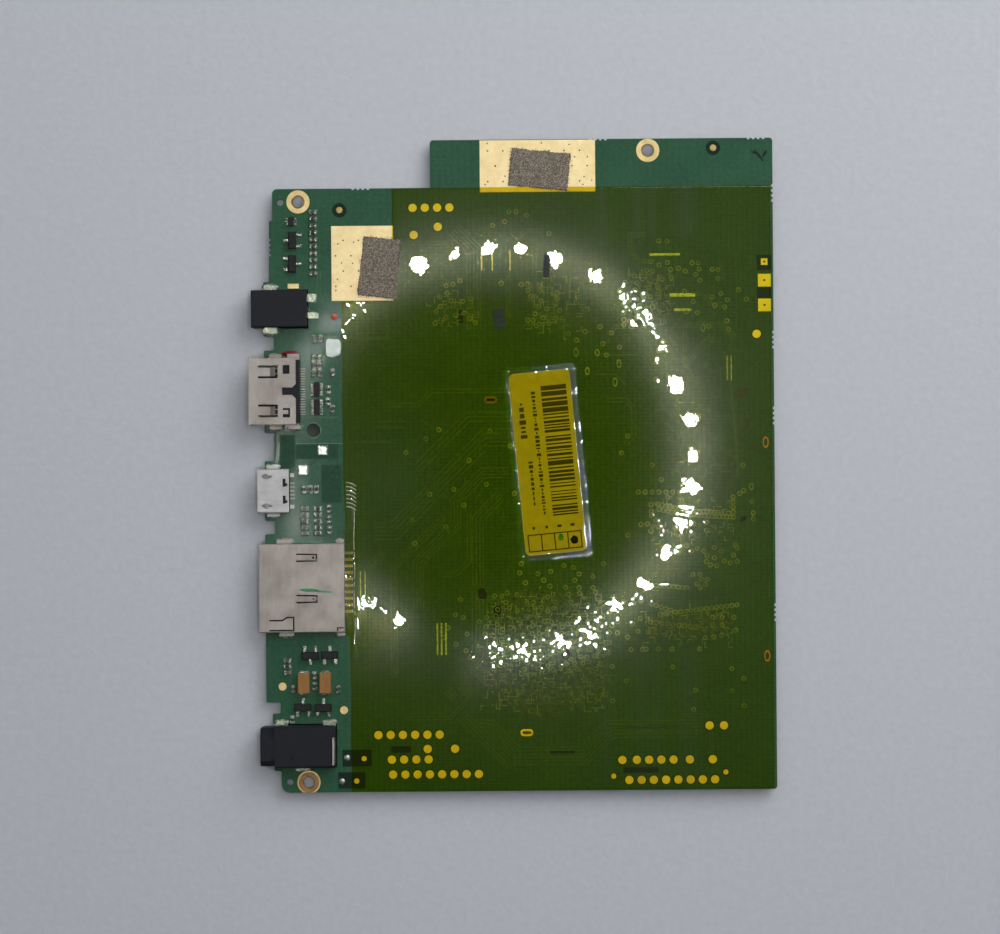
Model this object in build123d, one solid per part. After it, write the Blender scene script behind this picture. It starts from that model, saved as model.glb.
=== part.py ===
"""Motherboard of a tablet computer: a bare circuit board with its sockets along the left edge.

Millimetres, +Z up. The board is laid out from its own lower left corner: X runs right from the left
edge's lands, Y runs up from the lower edge, and Z is zero on the board's upper face. When every piece
is made, the whole part is moved so that its box stands centred on the origin.
"""

import os
from math import atan2, degrees, hypot

from build123d import *

# ---------------------------------------------------------------- board
BOARD_WIDTH = 86.6
BOARD_LENGTH = 110.6
BOARD_THICKNESS = 1.0
STEP_WIDTH = 28.45  # the corner that is missing at the upper left
STEP_DEPTH = 8.1
GROWN_WIDTH = BOARD_WIDTH - 86.6  # how far this board outgrows the one that is laid out below
GROWN_LENGTH = BOARD_LENGTH - 110.6
MAIN_TOP = BOARD_LENGTH - STEP_DEPTH


def spread_x(x):
    """Left of the film's notch a place stays, near the right edge it follows, between them it spreads."""
    return x + GROWN_WIDTH * min(max((x - 22.0) / 61.0, 0), 1)


def spread_y(y):
    """Below the headphone jack's neighbours a place stays, at the upper screw it follows the edge."""
    return y + GROWN_LENGTH * min(max((y - 14.5) / 85.7, 0), 1)


def spread(*places):
    """Places given on the board as laid out, moved with this board's width and length."""
    return [(spread_x(x), spread_y(y)) for x, y in places]


LOWER_BAY_DEPTH = 2.4
UPPER_EDGE_SETBACK = 1.05
CORNER_SETBACK = 1.6
CORNER_SETBACK_LENGTH = 5.4
LOWER_CORNER_SETBACK = 2.5
LOWER_CORNER_GAP = 0.6  # between the lower corner and the headphone jack's cut-out
LOWER_BAY_HEIGHT = 1.95
EDGE_RADIUS = 0.25  # the routed corners of the lands and bays
SQUARE_CORNER_RADIUS = 0.55  # the two right-hand corners and the one beside the missing corner
UPPER_CORNER_RADIUS = 0.8
LOWER_CORNER_RADIUS = 1.4
BITE_RADIUS = 0.26  # half holes left by the snapped break-out stubs
BITE_PITCH = 0.85
BITES_PER_STUB = 4
FIT_GAP = 0.15  # between a sunk jack and its cut-out

BAY_DEPTH = 1.7  # how far the left edge stands back between two sockets
BAYS = [(spread_y(low), spread_y(high)) for low, high in ((43.9, 46.2), (56.3, 61.1), (75.1, 77.5))]

SCREW_HOLE_RADIUS = 1.0
SCREW_RING_RADIUS = 1.97
SCREW_HOLES = spread((6.0, 100.3), (65.45, 108.6), (7.1, 1.75))
TOOLING_HOLE_RADIUS = 0.55
TOOLING_HOLES = spread((2.95, 100.2), (3.9, 1.75))
SOUND_HOLE = (8.3, spread_y(61.5))
SOUND_HOLE_RADIUS = 1.2
SLOT_LENGTH = 2.2
SLOT_WIDTH = 1.2
SLOT_OPENING = 0.5
SLOTS = spread((44.15, 9.9), (38.45, 66.45))
PLATING = 0.05  # thickness of copper, gold and solder layers
HAIR = 0.01  # the least gap between a round piece and its hole

# ---------------------------------------------------------------- pads
TEST_PAD_RADIUS = 0.71
SMALL_PAD_RADIUS = 0.45
PAD_PITCH = 2.08
PAD_ROWS = [  # the first pad of each row
    *spread((25.45, 99.15), (18.95, 9.67), (21.2, 5.48), (21.4, 2.93)),
    (BOARD_WIDTH - 23.8, 5.13), (BOARD_WIDTH - 25.1, 1.72),
]
PAD_COUNTS = [4, 6, 4, 8, 4, 8]
SINGLE_PADS = [
    *spread((25.6, 94.55), (29.7, 95.9), (27.3, 7.25), (31.95, 7.25), (83.7, 77.3)),
    (BOARD_WIDTH - 11.4, 10.87), (BOARD_WIDTH - 8.95, 10.87), (BOARD_WIDTH - 26.25, 5.13),
    (BOARD_WIDTH - 14.8, 5.13), (BOARD_WIDTH - 10.9, 5.13),
]
SMALL_PADS = [(BOARD_WIDTH - 27.75, 2.4), (BOARD_WIDTH - 8.7, 2.95), (16.5, 5.7), (15.2, 1.9)]
EDGE_PAD_X = BOARD_WIDTH - 1.52
EDGE_PADS = [(spread_y(89.55), 1.12), (spread_y(86.4), 2.17), (spread_y(82.2), 2.17)]  # Y and side of each square
EDGE_PAD_HOLE_RADIUS = 0.16
MARK_RADIUS = 0.63
MARKS = spread((13.0, 98.85), (76.55, 108.95))
SOLDER_PAD_SIDE = 1.8
SOLDER_PAD_HEIGHT = 0.32
SOLDER_PADS = spread((9.85, 58.1), (6.5, 54.75))
ROUND_PAD_RADIUS = 0.67
ROUND_PADS = spread((2.75, 18.05), (13.15, 13.95))
TIN_DOT_RADIUS = 0.52
TIN_DOT_HEIGHT = 0.2
TIN_DOTS = [(13.6, 5.85), (12.7, 1.85)]

LEFT_GROUND_X = 11.6
LEFT_GROUND_WIDTH = 10.5
LEFT_GROUND_LOW = spread_y(83.45)
LEFT_GROUND_HIGH = spread_y(96.15)
TOP_GROUND_X = spread_x(36.9)
TOP_GROUND_WIDTH = 19.6
TOP_GROUND_HEIGHT = 8.8
GROUND_EDGE_GAP = 0.1
GROUND_VIA_RADIUS = 0.14
GROUND_VIA_PITCH = 2.6

# ---------------------------------------------------------------- film, fabric and label
FILM_THICKNESS = 0.07
FILM_LIFT = 0.06  # the film rests on the pads, just clear of the board
FILM_TOP = MAIN_TOP
FILM_LEFT = 13.3
FILM_LOWER_LEFT = 14.35
FILM_UPPER_LEFT = 21.95
FILM_RIGHT_GAP = 0.4
FILM_LOWER_GAP = 0.15
FABRIC_THICKNESS = 0.3
FABRIC_LENGTH = 10.05
FABRIC_WIDTH = 6.3
FABRIC_PADS = [  # centre, and turn in degrees
    ((LEFT_GROUND_X + 8.1, (LEFT_GROUND_LOW + LEFT_GROUND_HIGH) / 2 - 0.75), 83.0),
    ((TOP_GROUND_X + 10.15, BOARD_LENGTH - 5.1), -6.0),
]
LABEL_WIDTH = 10.4
LABEL_LENGTH = 31.0
LABEL_THICKNESS = 0.1
LABEL_CENTRE = (spread_x(48.05), spread_y(55.75))
LABEL_TURN = 5.2
LABEL_CORNER = 1.0
TENT_MARGIN = 1.1

# ---------------------------------------------------------------- power jack
POWER_Y = spread_y(82.1)
POWER_FRONT = -1.95
POWER_LENGTH = 9.45
POWER_WIDTH = 6.3
POWER_TOP = 2.3
POWER_BORE_RADIUS = 1.35
POWER_BORE_DEPTH = 7.4
POWER_PIN_RADIUS = 0.35
POWER_LAND = 4.6  # board left above the jack's centre line

# ---------------------------------------------------------------- mini video socket
VIDEO_Y = spread_y(68.1)
VIDEO_FRONT = -2.4
VIDEO_LENGTH = 8.0
VIDEO_WIDTH = 11.2
VIDEO_HEIGHT = 3.2
VIDEO_LIP = 0.15
VIDEO_CONTACTS = 19
VIDEO_PITCH = 0.43
SHELL_SHEET = 0.25

# ---------------------------------------------------------------- micro data socket
DATA_Y = spread_y(51.25)
DATA_FRONT = -1.05
DATA_LENGTH = 5.3
DATA_WIDTH = 7.5
DATA_HEIGHT = 2.45
DATA_CONTACTS = 5
DATA_PITCH = 0.65

# ---------------------------------------------------------------- memory card socket
CARD_Y = spread_y(34.8)
CARD_FRONT = -0.95
CARD_LENGTH = 14.45
CARD_WIDTH = 15.0
CARD_HEIGHT = 1.8
CARD_SHEET = 0.2
CARD_SLOT_WIDTH = 11.3
CARD_SLOT_HEIGHT = 0.95
CARD_CONTACTS = 10
CARD_PITCH = 1.1
CARD_TAIL = 1.3
CARD_TAIL_THICKNESS = 0.22

# ---------------------------------------------------------------- headphone jack
PHONE_Y = 8.0
PHONE_FRONT = -0.9
PHONE_NOSE_LENGTH = 2.4
PHONE_LENGTH = 12.7
PHONE_NOSE_WIDTH = 6.5
PHONE_WIDTH = 7.1
PHONE_TOP = 2.7
PHONE_BORE_RADIUS = 1.8
PHONE_BORE_DEPTH = 11.6
PHONE_LAND = 5.4

# ---------------------------------------------------------------- small parts
UNDER_HEIGHT = 1.2  # the tallest underside pieces, on which the part lies
TRANSISTOR_LENGTH = 2.85
TRANSISTOR_WIDTH = 1.3
TRANSISTOR_HEIGHT = 1.0
TRANSISTOR_LEAD_SPACING = 1.9
TRANSISTOR_LEAD_WIDTH = 0.42
TRANSISTOR_LEAD_REACH = 0.85
LEAD_THICKNESS = 0.15
TANTALUM_LENGTH = 3.5
TANTALUM_WIDTH = 2.0
TANTALUM_HEIGHT = 1.6
CHIP_HEIGHT = 0.9
PASSIVE_LENGTH = 1.1
PASSIVE_WIDTH = 0.55
PASSIVE_HEIGHT = 0.5
PASSIVE_END = 0.26

# ---------------------------------------------------------------- underside
PROCESSOR_SIDE = 19.0
MEMORY_WIDTH = 10.6
MEMORY_LENGTH = 9.0
FLASH_WIDTH = 14.0
FLASH_LENGTH = 18.0
POWER_CHIP_SIDE = 8.0
CAN_WIDTH = 14.0
CAN_LENGTH = 13.0
CRYSTAL_LENGTH = 3.2
CRYSTAL_WIDTH = 2.5
INDUCTOR_SIDE = 4.0
RIBBON_WIDTH = 3.6
RIBBON_LENGTHS = [24.0, 9.0, 14.0]
RIBBON_COUNTS = [40, 12, 24]
RIBBON_PITCH = 0.5
BATTERY_WIDTH = 5.0
BATTERY_LENGTH = 9.0
BATTERY_PITCH = 1.5
BATTERY_COUNT = 4

TOP = 0.0
UNDER = -BOARD_THICKNESS
FLOOR = UNDER - UNDER_HEIGHT
pieces = {}


# ---------------------------------------------------------------- helpers
def slab(x_low, x_high, y_low, y_high, z_low, z_high):
    """A box between two corners."""
    middle = Pos((x_low + x_high) / 2, (y_low + y_high) / 2, (z_low + z_high) / 2)
    return middle * Box(x_high - x_low, y_high - y_low, z_high - z_low)


def brick(x, y, length, width, z_low, z_high):
    """A box centred on a point of the board."""
    return slab(x - length / 2, x + length / 2, y - width / 2, y + width / 2, z_low, z_high)


def disc(x, y, radius, z_low, z_high):
    """An upright cylinder."""
    return Pos(x, y, (z_low + z_high) / 2) * Cylinder(radius, z_high - z_low)


def rod_x(x_low, x_high, y, z, radius):
    """A cylinder along X."""
    return Pos((x_low + x_high) / 2, y, z) * Rot(0, 90, 0) * Cylinder(radius, x_high - x_low)


def plate(points, z_low, z_high):
    """An upright prism over an outline of X, Y points."""
    return Pos(0, 0, z_low) * extrude(make_face(Polyline(*points, close=True)), z_high - z_low)


def prism_x(points, x_low, x_high):
    """A prism along X over an outline of Y, Z points."""
    face = Plane.YZ * make_face(Polyline(*points, close=True))
    return Pos(x_low, 0, 0) * extrude(face, x_high - x_low)


def prism_y(points, y_low, y_high):
    """A prism along Y over an outline of X, Z points."""
    face = Plane.XZ * make_face(Polyline(*points, close=True))
    return Pos(0, y_high, 0) * extrude(face, y_high - y_low)


def bent_strip(line, sheet, y_low, y_high):
    """A strip of sheet metal bent along a line of X, Z points, with the sheet below the line."""
    below = [(x, z - sheet) for x, z in reversed(line)]
    return prism_y(line + below, y_low, y_high)


def soften(solid, radius, axis=Axis.Z):
    """Rounds the edges that run along one axis."""
    return fillet(solid.edges().filter_by(axis), radius)


def keep(name, *shapes):
    """Stores one node. Several shapes stay separate solids of one group."""
    solids = [solid for shape in shapes for solid in shape.solids()]
    pieces[name] = solids[0] if len(solids) == 1 else Compound(solids)


def row_places(count, pitch):
    """Offsets of a row that is centred on zero."""
    return [(index - (count - 1) / 2) * pitch for index in range(count)]


# ---------------------------------------------------------------- circuit board
def left_edge_cuts():
    """Spans of the left edge that stand back: lower Y, upper Y and how far."""
    phone_cut = PHONE_WIDTH / 2 + FIT_GAP
    power_cut = POWER_WIDTH / 2 + FIT_GAP
    lower_corner = PHONE_Y - phone_cut - LOWER_CORNER_GAP
    return [
        (-1, lower_corner, LOWER_CORNER_SETBACK),
        (lower_corner, PHONE_Y - phone_cut, LOWER_CORNER_SETBACK / 2),
        (PHONE_Y - phone_cut, PHONE_Y + phone_cut, PHONE_FRONT + PHONE_LENGTH + FIT_GAP),
        (PHONE_Y + phone_cut, PHONE_Y + PHONE_LAND, UPPER_EDGE_SETBACK),
        (PHONE_Y + PHONE_LAND, PHONE_Y + PHONE_LAND + LOWER_BAY_HEIGHT, LOWER_BAY_DEPTH),
        *[(low, high, BAY_DEPTH) for low, high in BAYS],
        (POWER_Y - power_cut, POWER_Y + power_cut, POWER_FRONT + POWER_LENGTH + FIT_GAP),
        (POWER_Y + POWER_LAND, MAIN_TOP - CORNER_SETBACK_LENGTH, UPPER_EDGE_SETBACK),
        (MAIN_TOP - CORNER_SETBACK_LENGTH, BOARD_LENGTH + 1, CORNER_SETBACK),
    ]


def bite_centres():
    """Centres of the half holes that the break-out stubs leave along the edges."""
    stubs = [
        (UPPER_EDGE_SETBACK, POWER_Y + 10.5, 0, 1),
        (16.6, MAIN_TOP, 1, 0),
        (spread_x(57.0), BOARD_LENGTH, 1, 0),
        (BOARD_WIDTH - 2.8, BOARD_LENGTH, 1, 0),
        (BOARD_WIDTH, MAIN_TOP - 1.3, 0, 1),
        (BOARD_WIDTH, spread_y(76.3), 0, 1),
        (BOARD_WIDTH, spread_y(63.4), 0, 1),
        (BOARD_WIDTH, spread_y(30.0), 0, 1),
    ]
    return [
        (x + along * along_x, y + along * along_y)
        for x, y, along_x, along_y in stubs
        for along in row_places(BITES_PER_STUB, BITE_PITCH)
    ]


def upright_edges(solid, x, y):
    """The upright edges that stand at one place."""
    upright = solid.edges().filter_by(Axis.Z)
    return [edge for edge in upright if hypot(edge.center().X - x, edge.center().Y - y) < HAIR]


def make_board():
    board = slab(0, BOARD_WIDTH, 0, BOARD_LENGTH, UNDER, TOP)
    board -= slab(-1, STEP_WIDTH, MAIN_TOP, BOARD_LENGTH + 1, UNDER - 1, TOP + 1)
    for y_low, y_high, depth in left_edge_cuts():
        board -= slab(-1, depth, y_low, y_high, UNDER - 1, TOP + 1)
    rounded = {
        (BOARD_WIDTH, 0): SQUARE_CORNER_RADIUS,
        (BOARD_WIDTH, BOARD_LENGTH): SQUARE_CORNER_RADIUS,
        (STEP_WIDTH, BOARD_LENGTH): SQUARE_CORNER_RADIUS,
        (CORNER_SETBACK, MAIN_TOP): UPPER_CORNER_RADIUS,
        (LOWER_CORNER_SETBACK, 0): LOWER_CORNER_RADIUS,
    }
    for (x, y), radius in rounded.items():
        board = fillet(upright_edges(board, x, y), radius)
    small = [
        edge for edge in board.edges().filter_by(Axis.Z)
        if edge.center().X < LOWER_CORNER_SETBACK + HAIR and edge.center().Y > LOWER_CORNER_RADIUS + HAIR
        and edge.center().Y < MAIN_TOP - UPPER_CORNER_RADIUS - HAIR
    ]
    board = fillet(small, EDGE_RADIUS)
    for x, y in bite_centres():
        board -= disc(x, y, BITE_RADIUS, UNDER - 1, TOP + 1)
    for x, y in SCREW_HOLES:
        board -= disc(x, y, SCREW_HOLE_RADIUS, UNDER - 1, TOP + 1)
    for x, y in TOOLING_HOLES:
        board -= disc(x, y, TOOLING_HOLE_RADIUS, UNDER - 1, TOP + 1)
    board -= disc(*SOUND_HOLE, SOUND_HOLE_RADIUS, UNDER - 1, TOP + 1)
    for x, y in SLOTS:
        board -= slot(x, y, SLOT_LENGTH - SLOT_WIDTH + SLOT_OPENING, SLOT_OPENING, UNDER - 1, TOP + 1)
    keep("circuit_board", board)


def slot(x, y, length, width, z_low, z_high):
    """A slot with round ends, along X."""
    face = Pos(x, y, z_low) * SlotOverall(length, width)
    return extrude(face, z_high - z_low)


def make_platings():
    inside = slab(0, BOARD_WIDTH, HAIR, BOARD_LENGTH - HAIR, UNDER - 1, TOP + 1)
    rings = []
    for x, y in SCREW_HOLES:
        for z_low in (TOP, UNDER - PLATING):
            ring = disc(x, y, SCREW_RING_RADIUS, z_low, z_low + PLATING)
            ring -= disc(x, y, SCREW_HOLE_RADIUS, UNDER - 1, TOP + 1)
            rings.append(ring & inside)
    keep("screw_hole_platings", *rings)
    sleeves = []
    for x, y in SLOTS:
        rim = slot(x, y, SLOT_LENGTH, SLOT_WIDTH, TOP, TOP + PLATING)
        rim -= slot(x, y, SLOT_LENGTH - SLOT_WIDTH + SLOT_OPENING, SLOT_OPENING, TOP - 1, TOP + 1)
        sleeves.append(rim)
    keep("slot_rims", *sleeves)


def via_grid(x_low, x_high, y_low, y_high):
    """Centres of ground vias in staggered rows."""
    across = int((x_high - x_low) / GROUND_VIA_PITCH)
    up = int((y_high - y_low) / GROUND_VIA_PITCH)
    middle_x, middle_y = (x_low + x_high) / 2, (y_low + y_high) / 2
    return [
        (middle_x + x + (GROUND_VIA_PITCH / 4 if row % 2 else -GROUND_VIA_PITCH / 4), middle_y + y)
        for row, y in enumerate(row_places(up, GROUND_VIA_PITCH))
        for x in row_places(across, GROUND_VIA_PITCH)
    ]


def make_ground_pads():
    top_high = BOARD_LENGTH - GROUND_EDGE_GAP
    areas = [
        (LEFT_GROUND_X, LEFT_GROUND_X + LEFT_GROUND_WIDTH, LEFT_GROUND_LOW, LEFT_GROUND_HIGH),
        (TOP_GROUND_X, TOP_GROUND_X + TOP_GROUND_WIDTH, top_high - TOP_GROUND_HEIGHT, top_high),
    ]
    pads = []
    for area in areas:
        pad = slab(*area, TOP, TOP + PLATING)
        for via_x, via_y in via_grid(*area):
            pad -= disc(via_x, via_y, GROUND_VIA_RADIUS, TOP - 1, TOP + 1)
        pads.append(pad)
    keep("ground_pads", *pads)


def make_small_pads():
    rows = zip(PAD_ROWS, PAD_COUNTS)
    row_pads = [(x + index * PAD_PITCH, y) for (x, y), count in rows for index in range(count)]
    pads = [disc(x, y, TEST_PAD_RADIUS, TOP, TOP + PLATING) for x, y in row_pads + SINGLE_PADS]
    pads += [disc(x, y, SMALL_PAD_RADIUS, TOP, TOP + PLATING) for x, y in SMALL_PADS]
    keep("test_pads", *pads)
    keep("alignment_marks", *[disc(x, y, MARK_RADIUS, TOP, TOP + PLATING) for x, y in MARKS])
    squares = []
    for y, side in EDGE_PADS:
        square = brick(EDGE_PAD_X, y, side, side, TOP, TOP + PLATING)
        squares.append(square - disc(EDGE_PAD_X, y, EDGE_PAD_HOLE_RADIUS, TOP - 1, TOP + 1))
    keep("edge_pads", *squares)
    keep("round_copper_pads", *[disc(x, y, ROUND_PAD_RADIUS, TOP, TOP + PLATING) for x, y in ROUND_PADS])


def solder_dome(x, y, radius, height):
    """A low round cap of solder standing on the board."""
    ball_radius = (radius ** 2 + height ** 2) / (2 * height)
    ball = Pos(x, y, TOP + height - ball_radius) * Sphere(ball_radius)
    return ball & disc(x, y, radius, TOP, TOP + height)


def make_solder():
    domes = []
    for x, y in SOLDER_PADS:
        base = brick(x, y, SOLDER_PAD_SIDE, SOLDER_PAD_SIDE, TOP, TOP + SOLDER_PAD_HEIGHT)
        rim = base.edges().group_by(Axis.Z)[-1]
        domes.append(fillet(rim, SOLDER_PAD_HEIGHT * 0.8))
    keep("soldered_pads", *domes)
    keep("tinned_dots", *[solder_dome(x, y, TIN_DOT_RADIUS, TIN_DOT_HEIGHT) for x, y in TIN_DOTS])


# ---------------------------------------------------------------- film, fabric and label
def film_outline():
    """The film's edge, in order round the board."""
    right = BOARD_WIDTH - FILM_RIGHT_GAP
    card_low, card_high = CARD_Y - CARD_WIDTH / 2, CARD_Y + CARD_WIDTH / 2
    ground_low = LEFT_GROUND_LOW - PLATING
    return [
        (FILM_UPPER_LEFT, FILM_TOP),
        (right, FILM_TOP),
        (right, FILM_LOWER_GAP),
        (FILM_LOWER_LEFT, FILM_LOWER_GAP),
        (FILM_LOWER_LEFT, card_low),
        (FILM_LEFT + 0.4, card_high),
        (FILM_LEFT, ground_low),
        (FILM_UPPER_LEFT, ground_low),
    ]


def label_shape(margin, z_low, z_high):
    """The label's outline, grown by a margin."""
    face = RectangleRounded(LABEL_WIDTH + 2 * margin, LABEL_LENGTH + 2 * margin, LABEL_CORNER + margin)
    return Pos(*LABEL_CENTRE, z_low) * Rot(0, 0, LABEL_TURN) * extrude(face, z_high - z_low)


def card_tails_block(margin, z_low, z_high):
    """The space over the card socket's contact tails."""
    back = CARD_FRONT + CARD_LENGTH
    half = CARD_WIDTH / 2 + margin
    return slab(back, back + CARD_TAIL + margin, CARD_Y - half, CARD_Y + half, z_low, z_high)


def make_film():
    low, high = TOP + FILM_LIFT, TOP + FILM_LIFT + FILM_THICKNESS
    film = plate(film_outline(), low, high)
    label_top = TOP + LABEL_THICKNESS + HAIR
    film += label_shape(TENT_MARGIN, low, label_top + FILM_THICKNESS)
    film -= label_shape(TENT_MARGIN / 2, low - HAIR, label_top)
    tails_top = TOP + CARD_TAIL_THICKNESS + HAIR
    reach = plate(film_outline(), low, tails_top + 2 * FILM_THICKNESS)
    film += card_tails_block(FILM_THICKNESS, low, tails_top + FILM_THICKNESS) & reach
    film -= card_tails_block(HAIR, low - HAIR, tails_top)
    keep("protective_film", film)


def make_fabric():
    film = plate(film_outline(), TOP, TOP + FILM_LIFT + FILM_THICKNESS)
    pads = []
    for centre, turn in FABRIC_PADS:
        face = RectangleRounded(FABRIC_LENGTH, FABRIC_WIDTH, 0.3)
        pad = Pos(*centre, TOP + PLATING) * Rot(0, 0, turn) * extrude(face, FABRIC_THICKNESS)
        pads.append(pad - film)
    keep("conductive_fabric_pads", *pads)


def make_label():
    keep("paper_label", label_shape(0, TOP, TOP + LABEL_THICKNESS))


# ---------------------------------------------------------------- power jack
def make_power_jack():
    back = POWER_FRONT + POWER_LENGTH
    half = POWER_WIDTH / 2
    axis_z = (POWER_TOP + FLOOR) / 2
    housing = soften(slab(POWER_FRONT, back, -half, half, FLOOR, POWER_TOP), 0.25, Axis.X)
    housing -= rod_x(POWER_FRONT - 1, POWER_FRONT + POWER_BORE_DEPTH, 0, axis_z, POWER_BORE_RADIUS)
    housing -= rod_x(POWER_FRONT + POWER_BORE_DEPTH - 1, back + 1, 0, axis_z, POWER_PIN_RADIUS + HAIR)
    clip_x = (0.0, 2.3)
    slot_depth = 0.45
    for side in (-1, 1):
        y_low, y_high = sorted((side * half, side * (half - slot_depth)))
        housing -= slab(clip_x[0] - 0.2, clip_x[1] + 0.2, y_low, y_high, TOP - 0.6, POWER_TOP - 0.35)
    finger_slot = slab(1.5, 6.5, -0.6, 0.6, axis_z - POWER_BORE_RADIUS - 0.45, axis_z)
    housing -= finger_slot
    place = Pos(0, POWER_Y, 0)
    keep("power_jack_housing", place * housing)

    pin = rod_x(POWER_FRONT + 1.0, back + FIT_GAP / 2, 0, axis_z, POWER_PIN_RADIUS)
    pin = chamfer(pin.edges().group_by(Axis.X)[0], 0.12)
    keep("power_jack_pin", place * pin)

    clips = []
    for side in (-1, 1):
        wall = slab(*clip_x, half - 0.4, half - 0.2, TOP, POWER_TOP - 0.5)
        shelf = slab(*clip_x, half - 0.4, half + FIT_GAP, TOP, TOP + 0.2)
        foot = slab(*clip_x, half + FIT_GAP, half + 0.95, TOP, TOP + 0.2)
        clip = wall + shelf + foot
        clips.append(clip if side > 0 else mirror(clip, Plane.XZ))
    keep("power_jack_clips", *[place * clip for clip in clips])

    tails = []
    for y, width, reach in ((1.85, 1.35, 1.5), (-1.1, 1.0, 1.9)):
        upright = slab(back + HAIR, back + 0.22, y - width / 2, y + width / 2, TOP, TOP + 1.1)
        foot = slab(back + HAIR, back + reach, y - width / 2, y + width / 2, TOP, TOP + 0.2)
        tails.append(upright + foot)
    spring_z = axis_z - POWER_BORE_RADIUS - 0.35
    spring_line = [(1.6, spring_z), (3.8, spring_z + 0.75), (5.0, spring_z + 0.75), (6.4, spring_z)]
    tails.append(bent_strip(spring_line, 0.08, -0.45, 0.45))
    keep("power_jack_contacts", *[place * tail for tail in tails])
    land_pad = slab(4.15, 6.05, half + 0.35, half + 1.15, TOP, TOP + 0.25)
    keep("power_jack_solder_pad", place * land_pad)


# ---------------------------------------------------------------- mini video socket
def video_profile(inset, z_low, z_high):
    """The socket's section: flat on top, with its two lower corners cut away."""
    half = VIDEO_WIDTH / 2 - inset
    corner = 1.0 - inset / 2
    return [
        (-half, z_high), (half, z_high), (half, z_low + corner), (half - corner, z_low),
        (-half + corner, z_low), (-half, z_low + corner),
    ]


def spring_tongue(root_x, tip_x, y, width, top):
    """A spring cut out of the top sheet, dipping into the socket and rising again at its tip."""
    dip_x = root_x + (tip_x - root_x) * 0.62
    line = [(root_x, top), (dip_x - 0.25, top - 0.42), (dip_x + 0.25, top - 0.42), (tip_x, top - 0.12)]
    return bent_strip(line, SHELL_SHEET * 0.8, y - width / 2, y + width / 2)


def make_video_socket():
    back = VIDEO_FRONT + VIDEO_LENGTH
    half = VIDEO_WIDTH / 2
    sheet = SHELL_SHEET
    low = TOP + 0.1
    shell = prism_x(video_profile(0, low, VIDEO_HEIGHT), VIDEO_FRONT, back)
    shell -= prism_x(video_profile(sheet, low + sheet, VIDEO_HEIGHT - sheet), VIDEO_FRONT - 1, back + 1)
    lip = prism_x(video_profile(-VIDEO_LIP, low, VIDEO_HEIGHT), VIDEO_FRONT, VIDEO_FRONT + 0.45)
    lip -= prism_x(video_profile(sheet / 2, low + sheet, VIDEO_HEIGHT - sheet), VIDEO_FRONT - 1, back)
    shell += lip - slab(VIDEO_FRONT - 1, back, -half + 2.5, half - 2.5, TOP - 1, VIDEO_HEIGHT - 1)
    window_x = (VIDEO_FRONT + 1.65, VIDEO_FRONT + 4.95)
    for y in (-3.3, 3.3):
        shell -= slab(*window_x, y - 1.08, y + 1.08, VIDEO_HEIGHT - 2 * sheet, VIDEO_HEIGHT + 1)
        shell += spring_tongue(window_x[0] - 0.05, window_x[1] - 0.45, y, 1.5, VIDEO_HEIGHT)
    cut = VIDEO_HEIGHT - 2 * sheet, VIDEO_HEIGHT + 1
    shell -= slab(3.43, 4.55, 2.95, 4.4, *cut)
    shell -= slab(3.38, 4.6, -4.4, -2.85, *cut) - slab(3.2, 4.28, -3.85, -3.15, *cut)
    shell -= slab(3.3, back + 1, -0.62, 0.62, *cut)
    shell -= plate([(back - 0.75, 0.5), (back + 0.1, 1.35), (back + 0.1, -1.35), (back - 0.75, -0.5)], *cut)
    for side in (-1, 1):
        for x in (0.87, 3.95):
            leg = slab(x, x + 2.1, half - sheet, half, TOP, 1.5)
            foot = slab(x, x + 2.1, half - sheet, half + 0.8, TOP, TOP + 0.25)
            shell += leg + foot if side > 0 else mirror(leg + foot, Plane.XZ)
    place = Pos(0, VIDEO_Y, 0)
    keep("video_socket_shell", place * shell)

    inner = half - sheet - 0.05
    tongue_z = (TOP + VIDEO_HEIGHT) / 2
    block_x = 3.0
    block = prism_x(video_profile(sheet + 0.05, low + sheet + 0.05, VIDEO_HEIGHT - sheet - 0.05), block_x, back)
    block += slab(back, back + 0.5, -inner, inner, TOP + 0.05, VIDEO_HEIGHT - sheet - 0.05)
    tongue_half = row_places(VIDEO_CONTACTS, VIDEO_PITCH)[-1] + 0.25
    block += slab(VIDEO_FRONT + 1.1, block_x, -tongue_half, tongue_half, tongue_z - 0.25, tongue_z + 0.25)
    for y in (-3.3, 3.3):
        block -= slab(block_x - 1, window_x[1] + 0.1, y - 1.2, y + 1.2, VIDEO_HEIGHT - 0.9, VIDEO_HEIGHT)
    contacts = []
    for index, y in enumerate(row_places(VIDEO_CONTACTS, VIDEO_PITCH)):
        above = index % 2 == 0
        z_face = tongue_z + 0.25 if above else tongue_z - 0.25 - 0.06
        blade = slab(VIDEO_FRONT + 1.4, block_x, y - 0.1, y + 0.1, z_face, z_face + 0.06)
        tail = slab(back + 0.5 + HAIR, back + 0.65, y - 0.1, y + 0.1, TOP, TOP + 0.9)
        tail += slab(back + 0.5 + HAIR, back + 1.45, y - 0.1, y + 0.1, TOP, TOP + 0.15)
        contacts += [blade, tail]
    keep("video_socket_insulator", place * block)
    keep("video_socket_contacts", *[place * contact for contact in contacts])


# ---------------------------------------------------------------- micro data socket
def data_profile(inset, z_low, z_high):
    """The socket's section: its two lower corners are cut away."""
    half = DATA_WIDTH / 2 - inset
    corner = 0.75 - inset / 2
    return [
        (-half, z_high), (half, z_high), (half, z_low + corner), (half - corner, z_low),
        (-half + corner, z_low), (-half, z_low + corner),
    ]


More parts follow.
